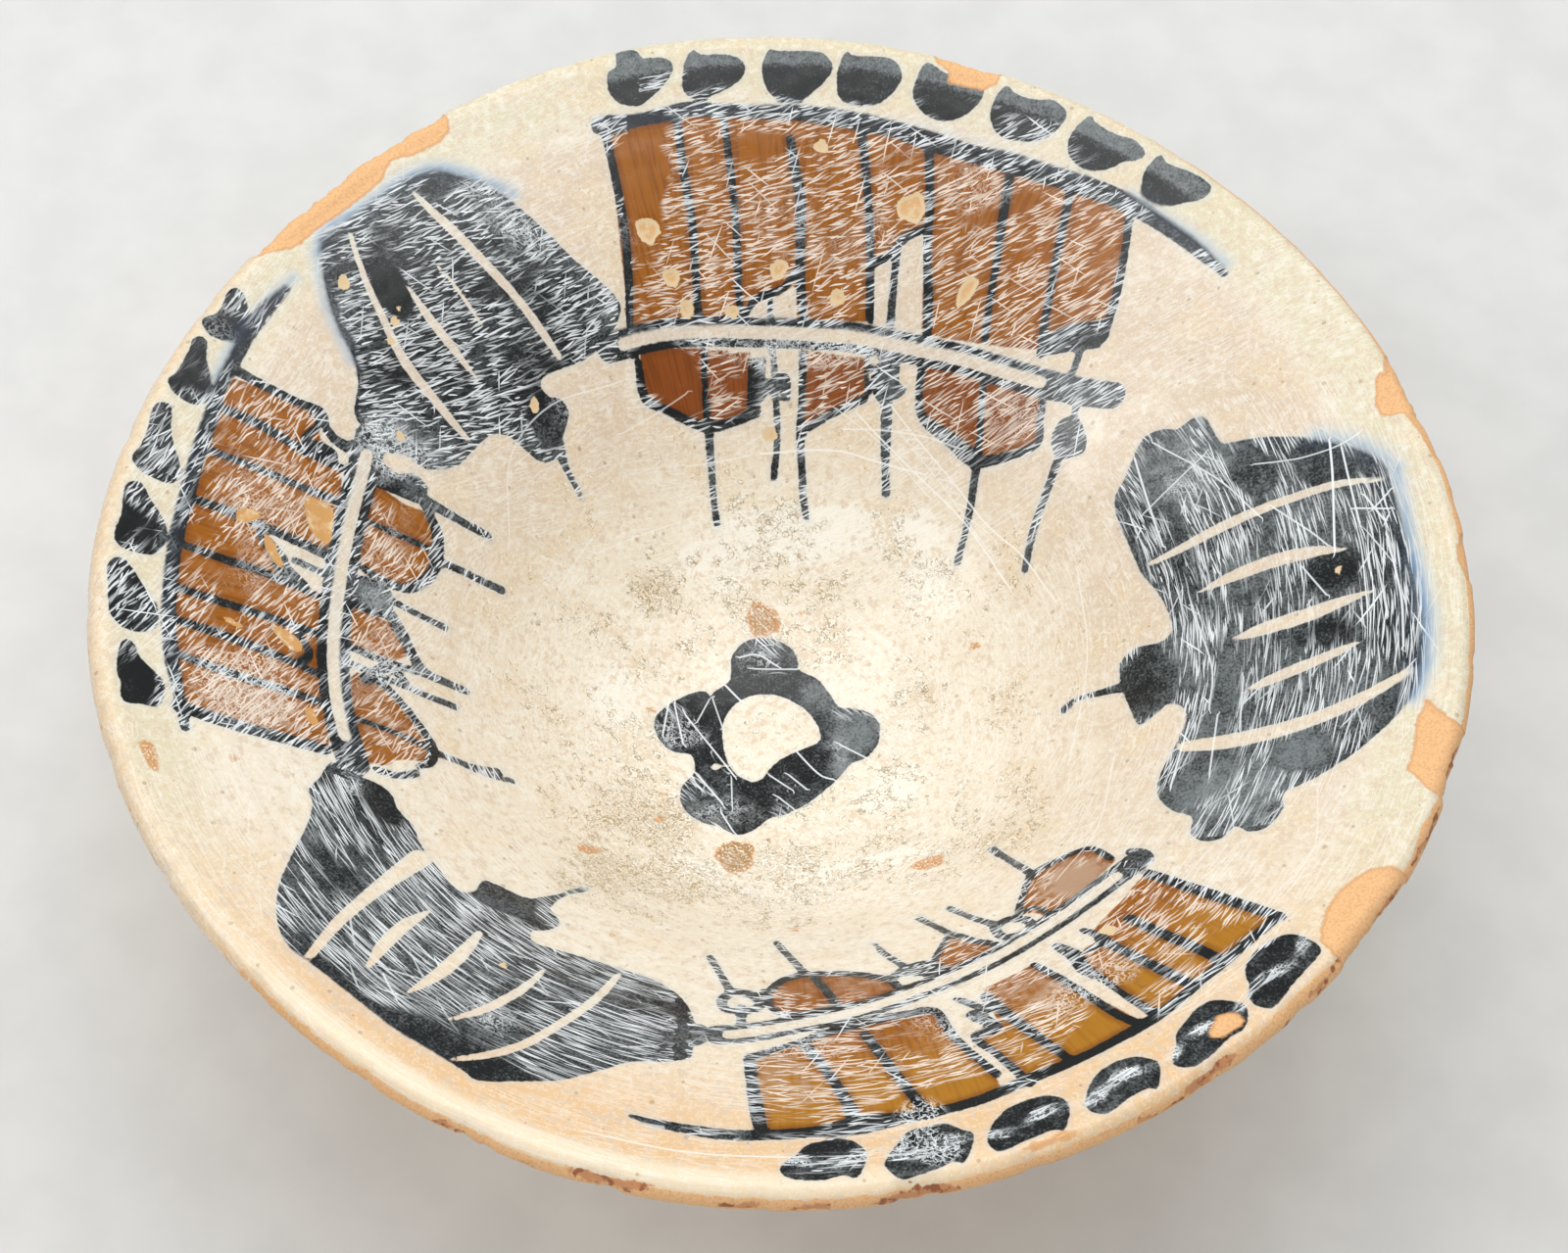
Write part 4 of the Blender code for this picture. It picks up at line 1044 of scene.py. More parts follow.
def wear_map(grid):
    """Flat map that the scratches run along, in mm, with how scratched each vertex is."""
    x, y = grid["plan"].T
    grey, scratched, scuffed = moods(grid)
    arc = (grid["turn"] - SEAM) % math.tau * SCRATCH_RADIUS
    wide, squeeze = np.array(LANES).T
    ends = SCRATCH_RADIUS * np.radians(np.cumsum(np.r_[0, wide]))
    squeezed = np.cumsum(np.r_[0, np.diff(ends) * squeeze])
    upper = (y > 28 + 24 * smooth(x, 52, 66)) & (x > -84.5 - 0.5 * (y - 33)) & ~grid["outside"]
    barrel = upper & (x < -36)
    left = (x < -66) & (y > -42) & ~upper & ~grid["outside"]
    inner = grid["reach"] < 32
    right = (x > 64) & (np.abs(y) < 50)
    near_left = (x < -15) & (y < -42)
    u = np.interp(arc, ends, squeezed)
    v = grid["reach"] * np.where(right | near_left, CLOSER, 1.0)
    for where, slant in ((upper, UPPER_SLANT), (barrel, BARREL_SLANT), (left, LEFT_SLANT),
                         (inner, INNER_SLANT)):
        u[where] = (x * math.cos(slant) + y * math.sin(slant))[where]
        v[where] = (y * math.cos(slant) - x * math.sin(slant))[where]
    faces = grid["faces"]
    torn = (np.ptp(u[faces], axis=1) > TORN) | (np.ptp(v[faces], axis=1) > TORN)
    scratched[faces[torn].ravel()] = 0
    return {"wear": np.c_[u, v, scratched], "arc": arc, "grey": grey, "scuffed": scuffed}


def least_gap(line, other):
    """Least distance between the points of two lines."""
    return np.hypot(*(line[:, None] - other[None]).T).min()


def scratch_sets():
    """The long scratches dealt out to a few sets, so that no two of a set lie close together."""
    sets = [[] for i in range(LONG_SETS)]
    for half_width, bright, *points in LONG_SCRATCHES:
        line = along(points)
        apart = [min([least_gap(line, other) for *rest, other in chosen], default=LONG_APART)
                 for chosen in sets]
        sets[int(np.argmax(np.minimum(apart, LONG_APART)))].append((half_width, bright, line))
    return sets


def long_scratches(xy, chosen):
    """Signed distance to the nearest long scratch, its nearness and its brightness, at each plan point."""
    found = np.tile((1.0, 0.0, 0.0), (len(xy), 1))
    best = np.full(len(xy), LONG_REACH)
    for half_width, bright, line in chosen:
        ids = near(xy, line, LONG_REACH)
        for a, b in zip(line, line[1:]):
            t, offset = from_edge(xy[ids], a, b)
            gap = np.hypot(*offset.T)
            edge, rel = b - a, xy[ids] - a
            side = np.sign(edge[0] * rel[:, 1] - edge[1] * rel[:, 0])
            closer = gap < best[ids]
            best[ids[closer]] = gap[closer]
            values = np.c_[side * gap / half_width, 1 - smooth(gap, 0.6, 1.3), np.full(len(gap), bright)]
            found[ids[closer]] = values[closer]
    return found


def worn_lip(grid):
    """Share of glaze rubbed off along the lip, before the material breaks it up."""
    reach, turn = grid["reach"], grid["turn"]
    share = np.full(len(reach), WORN_ELSEWHERE)
    for middle, half, amount in WORN_LIP:
        off = np.abs(degrees_from(turn, middle))
        share = np.maximum(share, amount * (1 - smooth(off, 0.6 * half, half)))
    start = np.interp(degrees_from(turn, 0), *zip(*LIP_LINE))
    return share * smooth(reach - start, -0.8, 0.8) * (1 - smooth(reach, 135, 140))


def body_tints(grid):
    """Slow changes of the cream and of the amber over the bowl, each from 0 to 1, with a painted highlight
    along the near lip and painted sheen in the well.
    """
    x, y = grid["plan"].T
    reach, turn = grid["reach"], np.degrees(grid["turn"])
    near_side = smooth(reach, 88, 122) * smooth(-y - 0.12 * np.abs(x), 30, 95)
    left_lip = 0.6 * smooth(reach, 124.5, 129) * smooth(-x - 0.3 * y, 60, 100)
    warmth = np.maximum(near_side, left_lip)
    red = smooth(y, 48, 55) * (1 - smooth(y + 0.03 * np.abs(x - 5)**1.3, 72, 75)) * (np.abs(x) < 60)
    bottom = (y < -60) & (x > -12)
    amber = np.where(bottom, 0.3 + 0.7 * smooth(reach, 84, 110), AMBER_TONE) - AMBER_TONE * red
    return {
        "warmth": warmth,
        "pink": between(reach, 44, 72, 110, 119) * smooth(0.35 * x + y, -90, 40),
        "pale": smooth(reach, 112, 120) * (1 - warmth),
        # painted highlight along the crest of the near lip
        "painted_lip_highlight": between(reach, 123, 125.5, 128.2, 129.6) * between(turn, 215, 235, 270, 300),
        "white_and_sheen": patches(grid["plan"], WHITE_AND_SHEEN),
        "dirt": patches(grid["plan"], DIRT),
        "amber_tone": np.clip(amber, 0, 1),
        "golden": smooth(-x, 84, 86) * (np.abs(y) < 40),
    }


def add_attribute(mesh, name, values):
    """Keeps a number, or three, on each vertex, for the material to read."""
    kind, field = ("FLOAT_VECTOR", "vector") if values.ndim == 2 else ("FLOAT", "value")
    attribute = mesh.attributes.new(name, kind, "POINT")
    attribute.data.foreach_set(field, np.ascontiguousarray(values, np.float32).ravel())


def add_map(mesh, grid, inside):
    """Flat map of the bowl: its inside as one disc and its outside as a smaller one."""
    corner = grid["faces"].ravel()
    ahead = np.c_[np.cos(grid["turn"]), np.sin(grid["turn"])][corner]
    reach = grid["reach"][corner]
    discs = []
    for (middle, radius), share in ((INSIDE_DISC, reach / MAP_SPLIT),
                                    (OUTSIDE_DISC, (reach.max() - reach) / (reach.max() - MAP_SPLIT))):
        discs.append(middle + ahead * (radius * share)[:, None])
    flat = np.where(np.repeat(inside, 3)[:, None], *discs)
    mesh.uv_layers.new(name="OFBake").data.foreach_set("uv", flat.ravel().astype(np.float32))


def painted_bowl(material):
    """The whole vessel as one fine closed mesh, with the painting kept on its vertices."""
    grid = bowl_grid()
    plan, outside = grid["plan"], grid["outside"]
    paint = paint_fields(plan)
    for name in paint:
        paint[name][outside] = MARGIN
    paint["bare"][outside] = np.clip(grid["height"] - glaze_end(grid["turn"]), -MARGIN, MARGIN)[outside]
    rise = relief(grid, paint)
    for values in LUMPS:
        rise += lumps(grid, *values)
    place = grid["place"] + grid["normal"] * rise[:, None]
    place[place[:, 2] < 0, 2] = 0
    mesh = bpy.data.meshes.new("painted_bowl")
    mesh.from_pydata((place * MM).tolist(), [], grid["faces"].tolist())
    mesh.validate()
    inside = ~outside
    shares = {"bleeding": bled(plan) * inside, "stain": stained(plan) * inside, "rubbed": worn_lip(grid)}
    for number, chosen in enumerate(scratch_sets()):
        shares[f"long_{number}"] = long_scratches(plan, chosen) * inside[:, None]
    for values in (paint, body_tints(grid), wear_map(grid), shares):
        for name in values:
            add_attribute(mesh, name, values[name])
    add_map(mesh, grid, grid["reach"][grid["faces"]].mean(1) < MAP_SPLIT)
    mesh.shade_smooth()
    mesh.materials.append(material)
    bowl = bpy.data.objects.new("painted_bowl", mesh)
    bpy.context.scene.collection.objects.link(bowl)
    return bowl


class Graph:
    """The nodes of one material, made by short calls."""

    def __init__(self, name):
        self.material = bpy.data.materials.new(name)
        self.material.use_nodes = True
        self.nodes = self.material.node_tree.nodes
        self.links = self.material.node_tree.links
        self.shader = self.nodes["Principled BSDF"]

    def feed(self, socket, value):
        """Links an output to a socket, or sets the socket to a plain value."""
        if isinstance(value, bpy.types.NodeSocket):
            self.links.new(value, socket)
        else:
            socket.default_value = value

    def node(self, kind, inputs, output=0, **settings):
        """Adds a node, feeds its inputs and returns one of its outputs, or all where output is None."""
        node = self.nodes.new("ShaderNode" + kind)
        for name, value in settings.items():
            setattr(node, name, value)
        for key, value in inputs.items():
            self.feed(node.inputs[key], value)
        return node.outputs if output is None else node.outputs[output]

    def math(self, operation, a, b=0.0, c=0.0):
        """One sum, named as in Blender."""
        return self.node("Math", {0: a, 1: b, 2: c}, operation=operation)

    def muladd(self, value, factor, base):
        """base + value * factor."""
        return self.math("MULTIPLY_ADD", value, factor, base)

    def swayed(self, base, noise_value, amount):
        """base, moved up and down by a noise."""
        return self.muladd(self.math("SUBTRACT", noise_value, 0.5), amount, base)

    def all_of(self, operation, values):
        """The same sum over all the values."""
        whole = values[0]
        for value in values[1:]:
            whole = self.math(operation, whole, value)
        return whole

    def times(self, *values):
        """Product of the values."""
        return self.all_of("MULTIPLY", values)

    def greatest(self, *values):
        """Greatest of the values."""
        return self.all_of("MAXIMUM", values)

    def attribute(self, name, output="Fac"):
        """What add_attribute kept under this name."""
        return self.node("Attribute", {}, output, attribute_name=name)

    def step(self, value, low, high, end=1.0):
        """Rises from 0 to end between low and high, or falls where low is the greater."""
        if low < high:
            sizes = {"From Min": low, "From Max": high, "To Min": 0.0, "To Max": end}
        else:
            sizes = {"From Min": high, "From Max": low, "To Min": end, "To Max": 0.0}
        return self.node("MapRange", {"Value": value, **sizes}, interpolation_type="SMOOTHSTEP")

    def noise(self, place, scale, detail=2.0, roughness=0.5, size="3D"):
        """Soft noise about 0.5."""
        inputs = {"Vector": place, "Scale": scale, "Detail": detail, "Roughness": roughness}
        return self.node("TexNoise", inputs, "Fac", noise_dimensions=size)

    def flat_noise(self, place, across, up):
        """Noise on a flat map, this fine in each direction."""
        return self.noise(self.scaled(place, across, up, 1.0), 1.0, size="2D")

    def cells(self, place, scale):
        """Outputs of a flat pattern of cells."""
        return self.node("TexVoronoi", {"Vector": place, "Scale": scale}, None, voronoi_dimensions="2D")

    def mix(self, share, a, b):
        """Colour a, turned into b by a share."""
        return self.node("Mix", {0: share, 6: a, 7: b}, 2, data_type="RGBA")

    def parts(self, vector):
        """The three numbers of a vector or colour."""
        return self.node("SeparateXYZ", {0: vector}, None)

    def vector(self, x, y):
        """A place on a flat map."""
        return self.node("CombineXYZ", {0: x, 1: y})

    def turned(self, vector, angle):
        """A vector turned about its third axis."""
        return self.node("VectorRotate", {"Vector": vector, "Angle": angle}, rotation_type="Z_AXIS")

    def scaled(self, vector, *scale):
        """A vector with each of its numbers scaled."""
        return self.node("VectorMath", {0: vector, 1: scale}, operation="MULTIPLY")


def paint_colour(red, green, blue):
    """A colour named as on a screen, 0 to 255, as the shader wants it."""
    return tuple((c / 255 / 12.92) if c < 10 else ((c / 255 + 0.055) / 1.055)**2.4
                 for c in (red, green, blue)) + (1.0,)


CREAM = paint_colour(241, 229, 206)
# Whitish cream of the slip flecks, also used for painted sheen and painted glints
CREAM_WHITE_AND_SHEEN = paint_colour(252, 247, 233)
CREAM_WARM = paint_colour(238, 198, 148)
CREAM_PINK = paint_colour(224, 203, 177)
CREAM_OCHRE = paint_colour(240, 216, 176)
CREAM_PALE = paint_colour(226, 215, 182)
# Colour of the painted highlight on the near lip
CREAM_PAINTED_HIGHLIGHT = paint_colour(250, 234, 204)
CREAM_SPECK = paint_colour(150, 122, 84)
CREAM_SCRATCH = paint_colour(254, 251, 242)
EARTH = paint_colour(146, 120, 72)
EARTH_STAIN = paint_colour(222, 194, 142)
STAIN = paint_colour(210, 148, 86)
STAIN_DARK = paint_colour(178, 136, 84)
INK_DEEP = paint_colour(22, 25, 25)
INK_GREY = paint_colour(128, 135, 136)
INK_HAZE = paint_colour(152, 160, 162)
INK_SCRATCH = paint_colour(243, 248, 250)
AMBER_RED = paint_colour(140, 72, 14)
AMBER_BROWN = paint_colour(162, 96, 16)
AMBER_GOLD = paint_colour(178, 120, 26)
AMBER_DARK = paint_colour(112, 56, 4)
AMBER_HAZE = paint_colour(194, 164, 138)
AMBER_SCRATCH = paint_colour(248, 234, 218)
COBALT = paint_colour(96, 144, 188)
COBALT_PALE = paint_colour(198, 208, 212)
COBALT_DARK = paint_colour(44, 66, 92)
CLAY = paint_colour(244, 194, 140)
CLAY_DARK = paint_colour(216, 156, 100)
BRUISE = paint_colour(214, 152, 106)
BRUISE_DARK = paint_colour(164, 102, 66)
WORN_RIM = paint_colour(230, 204, 162)
WORN_CORE = paint_colour(226, 180, 126)
WORN_GOLD = paint_colour(214, 162, 98)

# Scratches: slope in degrees, length, spacing and half width in mm, share kept
SCRATCHES = (
    (3, 5.6, 0.68, 0.18, 0.68),
    (-11, 4.6, 0.72, 0.16, 0.58),
    (14, 7.0, 1.10, 0.16, 0.52),
    (0, 19.0, 1.90, 0.17, 0.60),
    (57, 9.0, 5.0, 0.16, 0.50),
    (-52, 11.0, 6.0, 0.15, 0.50),
)
SCRATCH_LEAN = 0.2
LEAST_WIDTH = 0.0001

# Noises in the glaze: how many to a mm, detail, roughness
CLOUD = (0.07, 3.0, 0.6)
MOTTLE = (0.45, 3.0, 0.6)
FINE = (2.0, 2.0, 0.6)
EDGE = (0.9, 2.0, 0.5)
GRAIN = (2.2, 2.0, 0.65)
UNEVEN = (0.2, 1.0, 0.5)
# Noises on the flat map of the scratches: how many to a mm along them and across them
CLUSTERS = (0.045, 0.11)
HAZE = (0.35, 1.9)
THREADS = (0.06, 2.4)
BRUSHED = (1.3, 0.09)
RAGGED = 0.22
PINHOLES = 0.16


def scratches(g, lanes, slope, length, spacing, half_width, kept):
    """Short straight scratches, one to a cell, all nearly in one direction."""
    place = g.scaled(g.turned(lanes, math.radians(-slope)), 1 / length, 1 / spacing, 1.0)
    cell = g.cells(place, 1.0)
    offset = g.node("VectorMath", {0: place, 1: cell["Position"]}, operation="SUBTRACT")
    across_x, across_y, unused = g.parts(offset)
    chance, tilt, size = g.parts(cell["Color"])
    lean = g.times(g.math("SUBTRACT", tilt, 0.5), SCRATCH_LEAN * length)
    from_line = g.muladd(across_x, lean, g.times(across_y, spacing))
    ends = g.math("DIVIDE", across_x, g.muladd(size, 0.4, 0.12))
    width = g.times(g.math("SUBTRACT", 1.0, g.times(ends, ends)), half_width)
    width = g.greatest(g.times(width, g.math("LESS_THAN", chance, kept)), LEAST_WIDTH)
    line = g.step(g.math("DIVIDE", g.math("ABSOLUTE", from_line), width), 1.1, 0.75)
    return g.times(line, g.muladd(chance, -0.5 / kept, 1.0))


def long_line(g, number):
    """The long scratches of one set."""
    beside, nearness, bright = g.parts(g.attribute(f"long_{number}", "Vector"))
    return g.times(g.step(g.math("ABSOLUTE", beside), 1.3, 0.5), g.step(nearness, 0.3, 0.6), bright)


def curl_marks(g, value, level, width=1.0):
    """Thin short curls, along one level of a noise."""
    return g.step(g.math("ABSOLUTE", g.math("SUBTRACT", value, level)), 0.045 * width, 0.015 * width)


def cream_glaze(g, mm, cloud, mottle, fine, edge):
    """Cream slip under clear glaze: slow tints, mottling, earth, pinholes and stains, with painted sheen in
    the well, painted glints beside the earth curls and a painted highlight along the near lip.
    """
    white_and_sheen = g.attribute("white_and_sheen")
    warmth = g.attribute("warmth")
    well = g.step(white_and_sheen, -0.6, 0.6)
    colour = g.mix(g.times(g.attribute("pink"), g.step(cloud, 0.2, 0.52)), CREAM, CREAM_PINK)
    colour = g.mix(g.attribute("pale"), colour, CREAM_PALE)
    colour = g.mix(warmth, colour, CREAM_WARM)
    colour = g.mix(g.step(cloud, 0.52, 0.64, 0.5), colour, CREAM_OCHRE)
    colour = g.mix(g.step(mottle, 0.48, 0.36, 0.75), colour, CREAM_PINK)
    # White flecks of the slip and, over the top of the well, a painted sheen of the glaze
    white_flecks_and_sheen = g.step(g.muladd(white_and_sheen, 0.12, mottle), 0.54, 0.66, 0.9)
    white_flecks_and_sheen = g.greatest(white_flecks_and_sheen, g.step(fine, 0.52, 0.66, 0.65))
    white_flecks_and_sheen = g.times(white_flecks_and_sheen, well, g.muladd(warmth, -0.8, 1.0))
    whitened_and_sheen = g.swayed(g.swayed(g.times(white_and_sheen, 0.6), mottle, 1.6), cloud, 1.2)
    white_flecks_and_sheen = g.greatest(white_flecks_and_sheen, g.times(g.step(whitened_and_sheen, 0.28, 0.62, 0.95), g.step(white_and_sheen, 0.0, 0.3)))
    colour = g.mix(white_flecks_and_sheen, colour, CREAM_WHITE_AND_SHEEN)
    # Painted highlight along the crest of the near lip
    colour = g.mix(g.times(g.attribute("painted_lip_highlight"), 0.8), colour, CREAM_PAINTED_HIGHLIGHT)
    colour = g.mix(g.times(g.step(fine, 0.46, 0.30, 0.45), well), colour, CREAM_OCHRE)

    dirt = g.attribute("dirt")
    colour = g.mix(g.times(g.step(mottle, 0.48, 0.60), dirt, 0.6), colour, EARTH_STAIN)
    earth = g.muladd(dirt, 0.08, g.muladd(fine, 0.7, g.times(cloud, 0.4)))
    colour = g.mix(g.times(g.step(earth, 0.66, 0.74), g.step(dirt, 0.0, 0.5), 0.5), colour, EARTH)
    soiled = g.step(g.swayed(g.muladd(dirt, 0.3, mottle), cloud, 0.9), 0.60, 0.72)
    curls = g.greatest(curl_marks(g, edge, 0.5), g.times(curl_marks(g, mottle, 0.56, 0.6), 0.8))
    colour = g.mix(g.times(curls, soiled, g.step(dirt, -0.06, 0.14), 0.75), colour, EARTH)
    # Thin white curls beside the earth curls: painted glints
    colour = g.mix(g.times(curl_marks(g, edge, 0.57), well, 0.7), colour, CREAM_WHITE_AND_SHEEN)

    holes = g.cells(mm, PINHOLES)
    size = g.muladd(g.parts(holes["Color"])[0], 0.11, -0.045)
    pinholes = g.step(g.math("SUBTRACT", holes["Distance"], size), 0.02, 0.0)
    colour = g.mix(g.times(pinholes, 0.45), colour, CREAM_SPECK)

    stain = g.attribute("stain")
    crisp = g.step(g.swayed(stain, mottle, 0.9), 0.28, 0.42)
    inner = g.mix(g.step(stain, 0.6, 1.2), STAIN, STAIN_DARK)
    return g.mix(g.times(crisp, g.step(fine, 0.62, 0.52), g.step(stain, 0.0, 0.7)), colour, inner)


def ink_glaze(g, cloud, mottle, fine, haze):
    """Black slip, greyed where its glaze is dull and rubbed, and greyed along the back of the rim marks as a
    painted reflection.
    """
    thin = g.step(g.attribute("amber"), 2.6, 0.6, 0.4)
    grey = g.math("SUBTRACT", g.attribute("grey"), thin)
    for noise_value, amount in ((cloud, 1.0), (mottle, 1.0), (fine, 1.8)):
        grey = g.swayed(grey, noise_value, amount)
    colour = g.mix(g.step(grey, -0.1, 1.15), INK_DEEP, INK_GREY)
    colour = g.mix(g.times(g.attribute("bleeding"), 0.6), colour, COBALT_DARK)
    return g.mix(g.times(haze, 0.16), colour, INK_HAZE)


def amber_glaze(g, streaks, mottle, haze):
    """Amber slip from red brown to gold, streaked by the brush and darker where it pooled by the ink."""
    tone = g.attribute("amber_tone")
    colour = g.mix(g.step(tone, 0.0, 0.4), AMBER_RED, AMBER_BROWN)
    colour = g.mix(g.step(tone, 0.45, 1.0), colour, AMBER_GOLD)
    streaks = g.times(g.step(streaks, 0.56, 0.34, 0.6), g.muladd(tone, -0.7, 1.0))
    colour = g.mix(streaks, colour, AMBER_DARK)
    colour = g.mix(g.step(g.attribute("ink"), 1.5, 0.1, 0.55), colour, AMBER_DARK)
    dull = g.step(g.swayed(g.attribute("grey"), mottle, 1.6), 0.35, 1.15, 0.75)
    return g.mix(g.greatest(dull, g.times(haze, 0.1)), colour, AMBER_HAZE)


def wear_marks(g, flat, scratched, cloud, mottle, edge):
    """The short scratches, threads and curls as one mask, and the haze between them as another."""
    u, v, unused = g.parts(flat)
    lanes = g.vector(u, g.muladd(g.noise(flat, RAGGED, 1.0, size="2D"), 0.5, v))
    clusters = g.times(g.flat_noise(flat, *CLUSTERS), -1.0)
    showing = g.step(g.muladd(scratched, 0.66, clusters), -0.07, 0.09)
    lines = g.times(g.greatest(*[scratches(g, lanes, *values) for values in SCRATCHES]), showing)
    haze = g.times(g.step(g.flat_noise(flat, *HAZE), 0.42, 0.72), showing)
    threads = g.step(g.flat_noise(flat, *THREADS), 0.60, 0.70)
    lines = g.greatest(lines, g.times(threads, showing, 0.45))
    scuffed = g.swayed(g.times(g.attribute("scuffed"), 0.5), cloud, 0.8)
    curls = g.greatest(g.times(curl_marks(g, edge, 0.5), 0.7), curl_marks(g, mottle, 0.5, 0.6))
    return g.greatest(lines, g.times(curls, g.step(scuffed, 0.12, 0.42), 0.9)), haze


def painted_glaze():
    """Every layer of the bowl's surface, from the clay up to the scratches."""
    g = Graph("painted_glaze")
    mm = g.scaled(g.node("TexCoord", {}, "Object"), 1 / MM, 1 / MM, 1 / MM)
    cloud, mottle, fine, edge = [g.noise(mm, *values) for values in (CLOUD, MOTTLE, FINE, EDGE)]
    u, v, scratched = g.parts(g.attribute("wear", "Vector"))
    lines, haze = wear_marks(g, g.vector(u, v), scratched, cloud, mottle, edge)
    single = g.greatest(*[long_line(g, number) for number in range(LONG_SETS)])
    marks = g.greatest(lines, single)

    # Where each layer shows, its edge broken up by a little noise
    shift = g.muladd(edge, 0.4, -0.2)
    bleeding = g.attribute("bleeding")
    from_ink = g.attribute("ink")
    inked = g.math("DIVIDE", g.math("ADD", from_ink, shift), g.muladd(bleeding, 0.9, 0.13))
    inked = g.step(inked, 1.0, -1.0)
    ambered = g.step(g.math("ADD", g.attribute("amber"), shift), 0.2, -0.25)
    from_bare = g.muladd(shift, 2.0, g.attribute("bare"))
    bare = g.step(from_bare, 0.1, -0.1)
    bare_rim = g.step(g.math("ABSOLUTE", from_bare), 0.45, 0.1, 0.6)
    from_worn = g.muladd(shift, 2.4, g.attribute("worn"))
    worn = g.step(from_worn, 0.12, -0.12)
    bruised = g.step(g.muladd(shift, 2.4, g.attribute("bruised")), 0.1, -0.15)
    rubbed = g.step(g.swayed(g.attribute("rubbed"), mottle, 1.0), 0.42, 0.5)

    # The colour of each layer
    blue = g.times(bleeding, g.muladd(mottle, 0.6, 0.7))
    beside_ink = g.greatest(g.step(blue, 0.0, 0.6, 0.75), g.step(from_ink, 1.3, 0.0, 0.3))
    cream = g.mix(beside_ink, cream_glaze(g, mm, cloud, mottle, fine, edge), COBALT_PALE)
    cream = g.mix(g.step(blue, 0.35, 1.1, 0.8), cream, COBALT)
    cream = g.mix(g.greatest(g.times(lines, 0.36), single), cream, CREAM_SCRATCH)
    ink = g.mix(marks, ink_glaze(g, cloud, mottle, fine, haze), INK_SCRATCH)
    streaks = g.flat_noise(g.vector(g.attribute("arc"), v), *BRUSHED)
    amber = g.mix(marks, amber_glaze(g, streaks, mottle, haze), AMBER_SCRATCH)
    clay = g.mix(g.step(fine, 0.55, 0.34, 0.5), CLAY, CLAY_DARK)
    tan = g.mix(g.times(g.step(from_worn, -0.5, -1.0), g.step(mottle, 0.36, 0.5)), WORN_RIM, WORN_CORE)
    tan = g.mix(g.times(g.attribute("golden"), g.step(mottle, 0.62, 0.5)), tan, WORN_GOLD)
    bruise = g.mix(g.step(mottle, 0.5, 0.4), BRUISE, BRUISE_DARK)

    colour = cream
    for mask, paint in ((ambered, amber), (inked, ink), (worn, tan), (rubbed, clay), (bare, clay),
                        (bare_rim, CLAY_DARK), (bruised, bruise)):
        colour = g.mix(mask, colour, paint)
    g.feed(g.shader.inputs["Base Color"], colour)

    # Glossy glaze, duller where it is scratched, and matt clay
    lost = g.greatest(bare, rubbed, bruised, g.times(worn, 0.7))
    rough = g.math("ADD", g.muladd(lines, 0.18, g.step(cloud, 0.3, 0.7, 0.12)), 0.2)
    g.feed(g.shader.inputs["Roughness"], g.muladd(lost, 0.45, rough))

    # Fine grain, stronger on the clay, and a slow unevenness of the glaze
    gone = g.step(g.attribute("bare"), 0.3, -0.3)
    grain = g.times(g.noise(mm, *GRAIN), g.muladd(gone, 0.08, 0.012))
    height = g.muladd(g.noise(mm, *UNEVEN), 0.12, grain)
    bump = g.node("Bump", {"Height": height, "Strength": 1.0, "Distance": MM}, "Normal")
    g.feed(g.shader.inputs["Normal"], bump)
    return g.material


# The photograph's view, in mm and degrees: how far the camera is, how high it looks from,
# how much it is turned about its own axis, and where on the bowl it looks
VIEW_DISTANCE = 558.2
VIEW_ELEVATION = math.radians(58.37)
VIEW_ROLL = math.radians(2.36)
VIEW_SIDEWAYS = 0.37
VIEW_UPWARDS = -14.11
VIEW_HEIGHT = 78.7
SENSOR_WIDTH = 36.0
LENS = 67.5
CLIP_START = 0.01  # metres


def add_camera():
    """Camera at the photograph's viewing angle."""
    back = Vector((0, -math.cos(VIEW_ELEVATION), math.sin(VIEW_ELEVATION)))
    right = Vector((1, 0, 0))
    up = back.cross(right)
    place = back * VIEW_DISTANCE + right * VIEW_SIDEWAYS + up * VIEW_UPWARDS + Vector((0, 0, VIEW_HEIGHT))
    turned_right = right * math.cos(VIEW_ROLL) + up * math.sin(VIEW_ROLL)
    turned_up = up * math.cos(VIEW_ROLL) - right * math.sin(VIEW_ROLL)
    data = bpy.data.cameras.new("camera")
    data.lens = LENS
    data.sensor_width = SENSOR_WIDTH
    data.clip_start = CLIP_START
    camera = bpy.data.objects.new("camera", data)
    camera.matrix_world = Matrix.Translation(place * MM) @ Matrix(
        (turned_right, turned_up, back)).transposed().to_4x4()
    bpy.context.scene.collection.objects.link(camera)
    bpy.context.scene.camera = camera


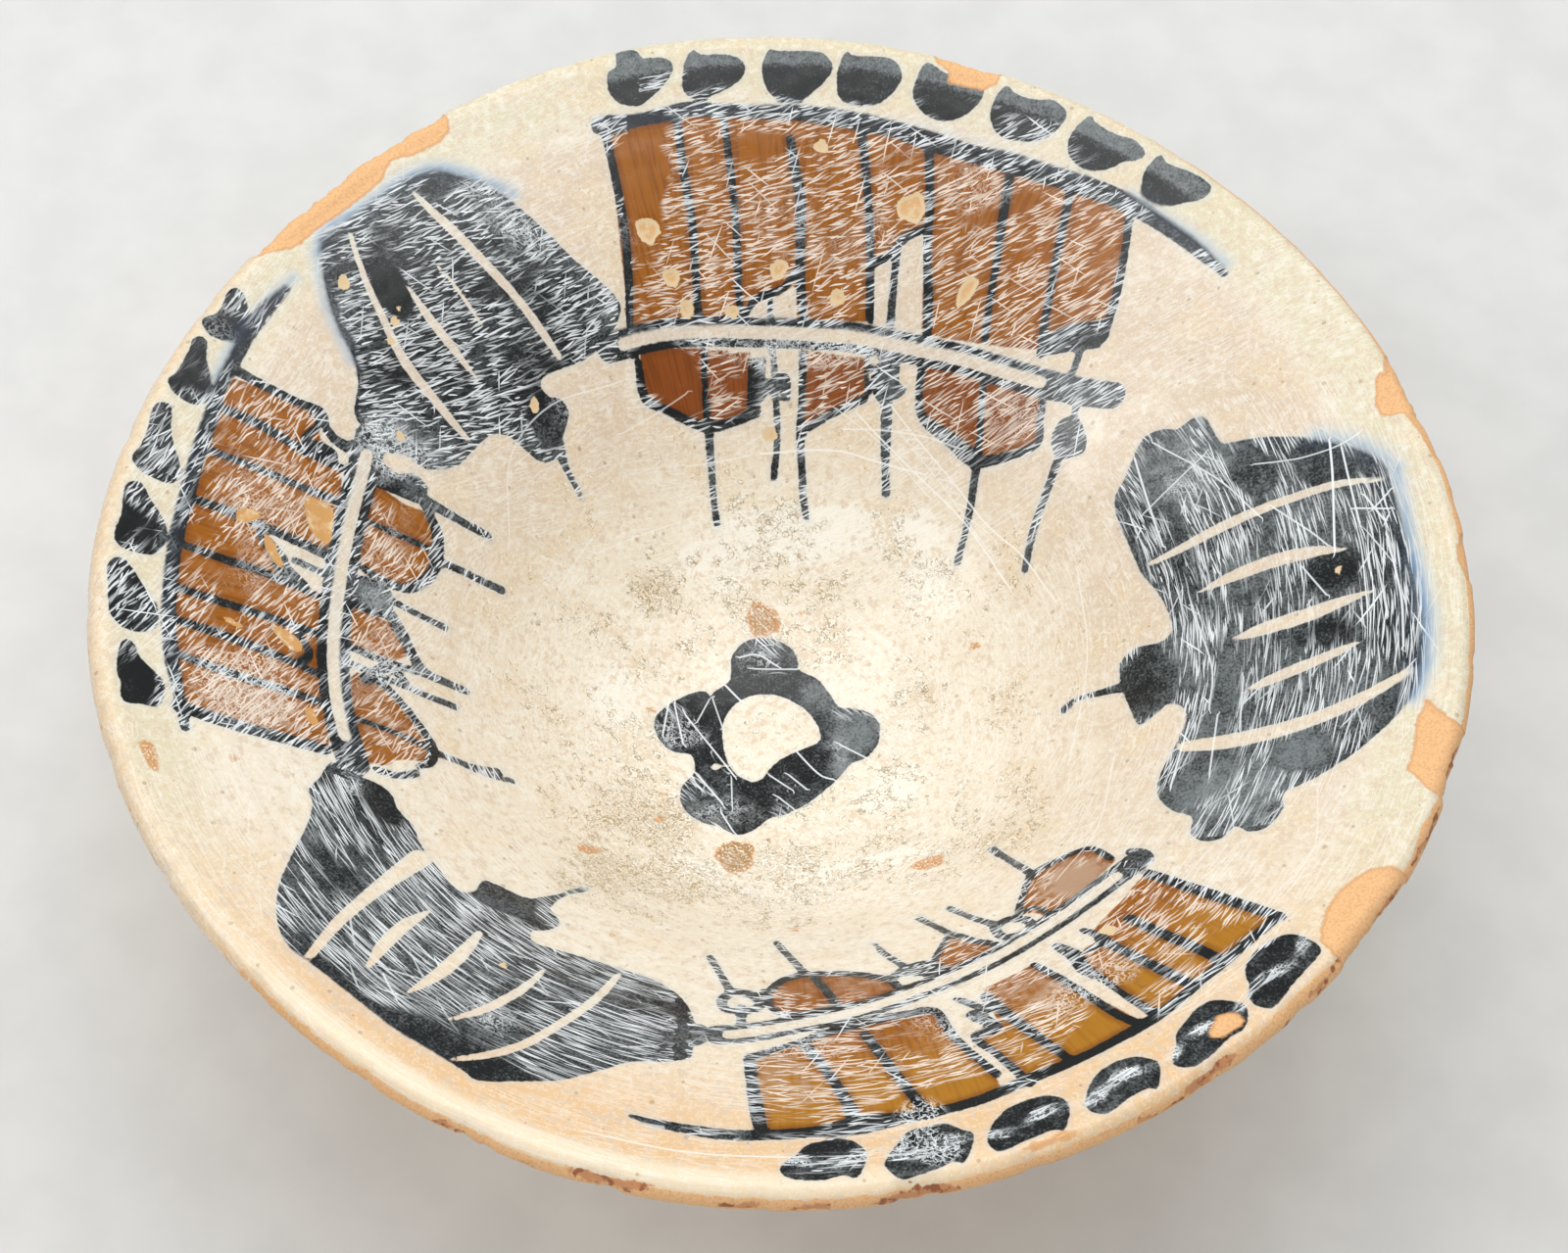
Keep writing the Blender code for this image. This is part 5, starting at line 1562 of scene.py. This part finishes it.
# Soft lights: name, place, width and depth in metres, watts, and whether gloss mirrors it
LIGHTS = (
    ("overhead", (0.0, 0.16, 0.95), 1.1, 0.5, 3.7, True),
    ("behind", (0.0, 0.85, 0.75), 1.0, 0.6, 4.8, False),
    ("front", (0.0, -0.7, 0.8), 1.0, 0.5, 2.9, False),
    ("left", (-0.75, -0.1, 0.8), 0.3, 0.3, 1.6, True),
)
LIGHTS_AIM = Vector((0, 0, 0.05))
ROOM_COLOUR = (0.95, 0.97, 1.0, 1.0)
ROOM_STRENGTH = 0.30

FLOOR_HALF = 3.0  # metres
FLOOR_LIGHT = paint_colour(228, 228, 226)
FLOOR_DARK = paint_colour(222, 222, 220)


def add_softbox(name, place, width, depth, watts, mirrored):
    """Oblong soft light that looks at the bowl."""
    data = bpy.data.lights.new(name, "AREA")
    data.shape = "RECTANGLE"
    data.size = width
    data.size_y = depth
    data.energy = watts
    light = bpy.data.objects.new(name, data)
    light.location = place
    light.rotation_euler = (LIGHTS_AIM - Vector(place)).to_track_quat("-Z", "Y").to_euler()
    light.visible_glossy = mirrored
    bpy.context.scene.collection.objects.link(light)


def add_lights():
    """A broad softbox overhead, fill from behind and in front, a narrow light from the left, a pale room."""
    for light in LIGHTS:
        add_softbox(*light)
    world = bpy.data.worlds.new("room")
    world.use_nodes = True
    background = world.node_tree.nodes["Background"]
    background.inputs["Color"].default_value = ROOM_COLOUR
    background.inputs["Strength"].default_value = ROOM_STRENGTH
    bpy.context.scene.world = world


def add_floor():
    """Plain pale floor."""
    mesh = bpy.data.meshes.new("floor")
    corners = ((-1, -1), (1, -1), (1, 1), (-1, 1))
    mesh.from_pydata([(x * FLOOR_HALF, y * FLOOR_HALF, 0) for x, y in corners], [], [(0, 1, 2, 3)])
    g = Graph("floor")
    tone = g.step(g.noise(g.node("TexCoord", {}, "Object"), 60.0, 3.0), 0.3, 0.7)
    g.feed(g.shader.inputs["Base Color"], g.mix(tone, FLOOR_DARK, FLOOR_LIGHT))
    g.feed(g.shader.inputs["Roughness"], 0.7)
    mesh.materials.append(g.material)
    floor = bpy.data.objects.new("floor", mesh)
    bpy.context.scene.collection.objects.link(floor)


add_camera()
bowl = painted_bowl(painted_glaze())
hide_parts("bowl")
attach(bowl, "root")
add_floor()
add_lights()
bpy.context.scene.view_settings.view_transform = "Standard"
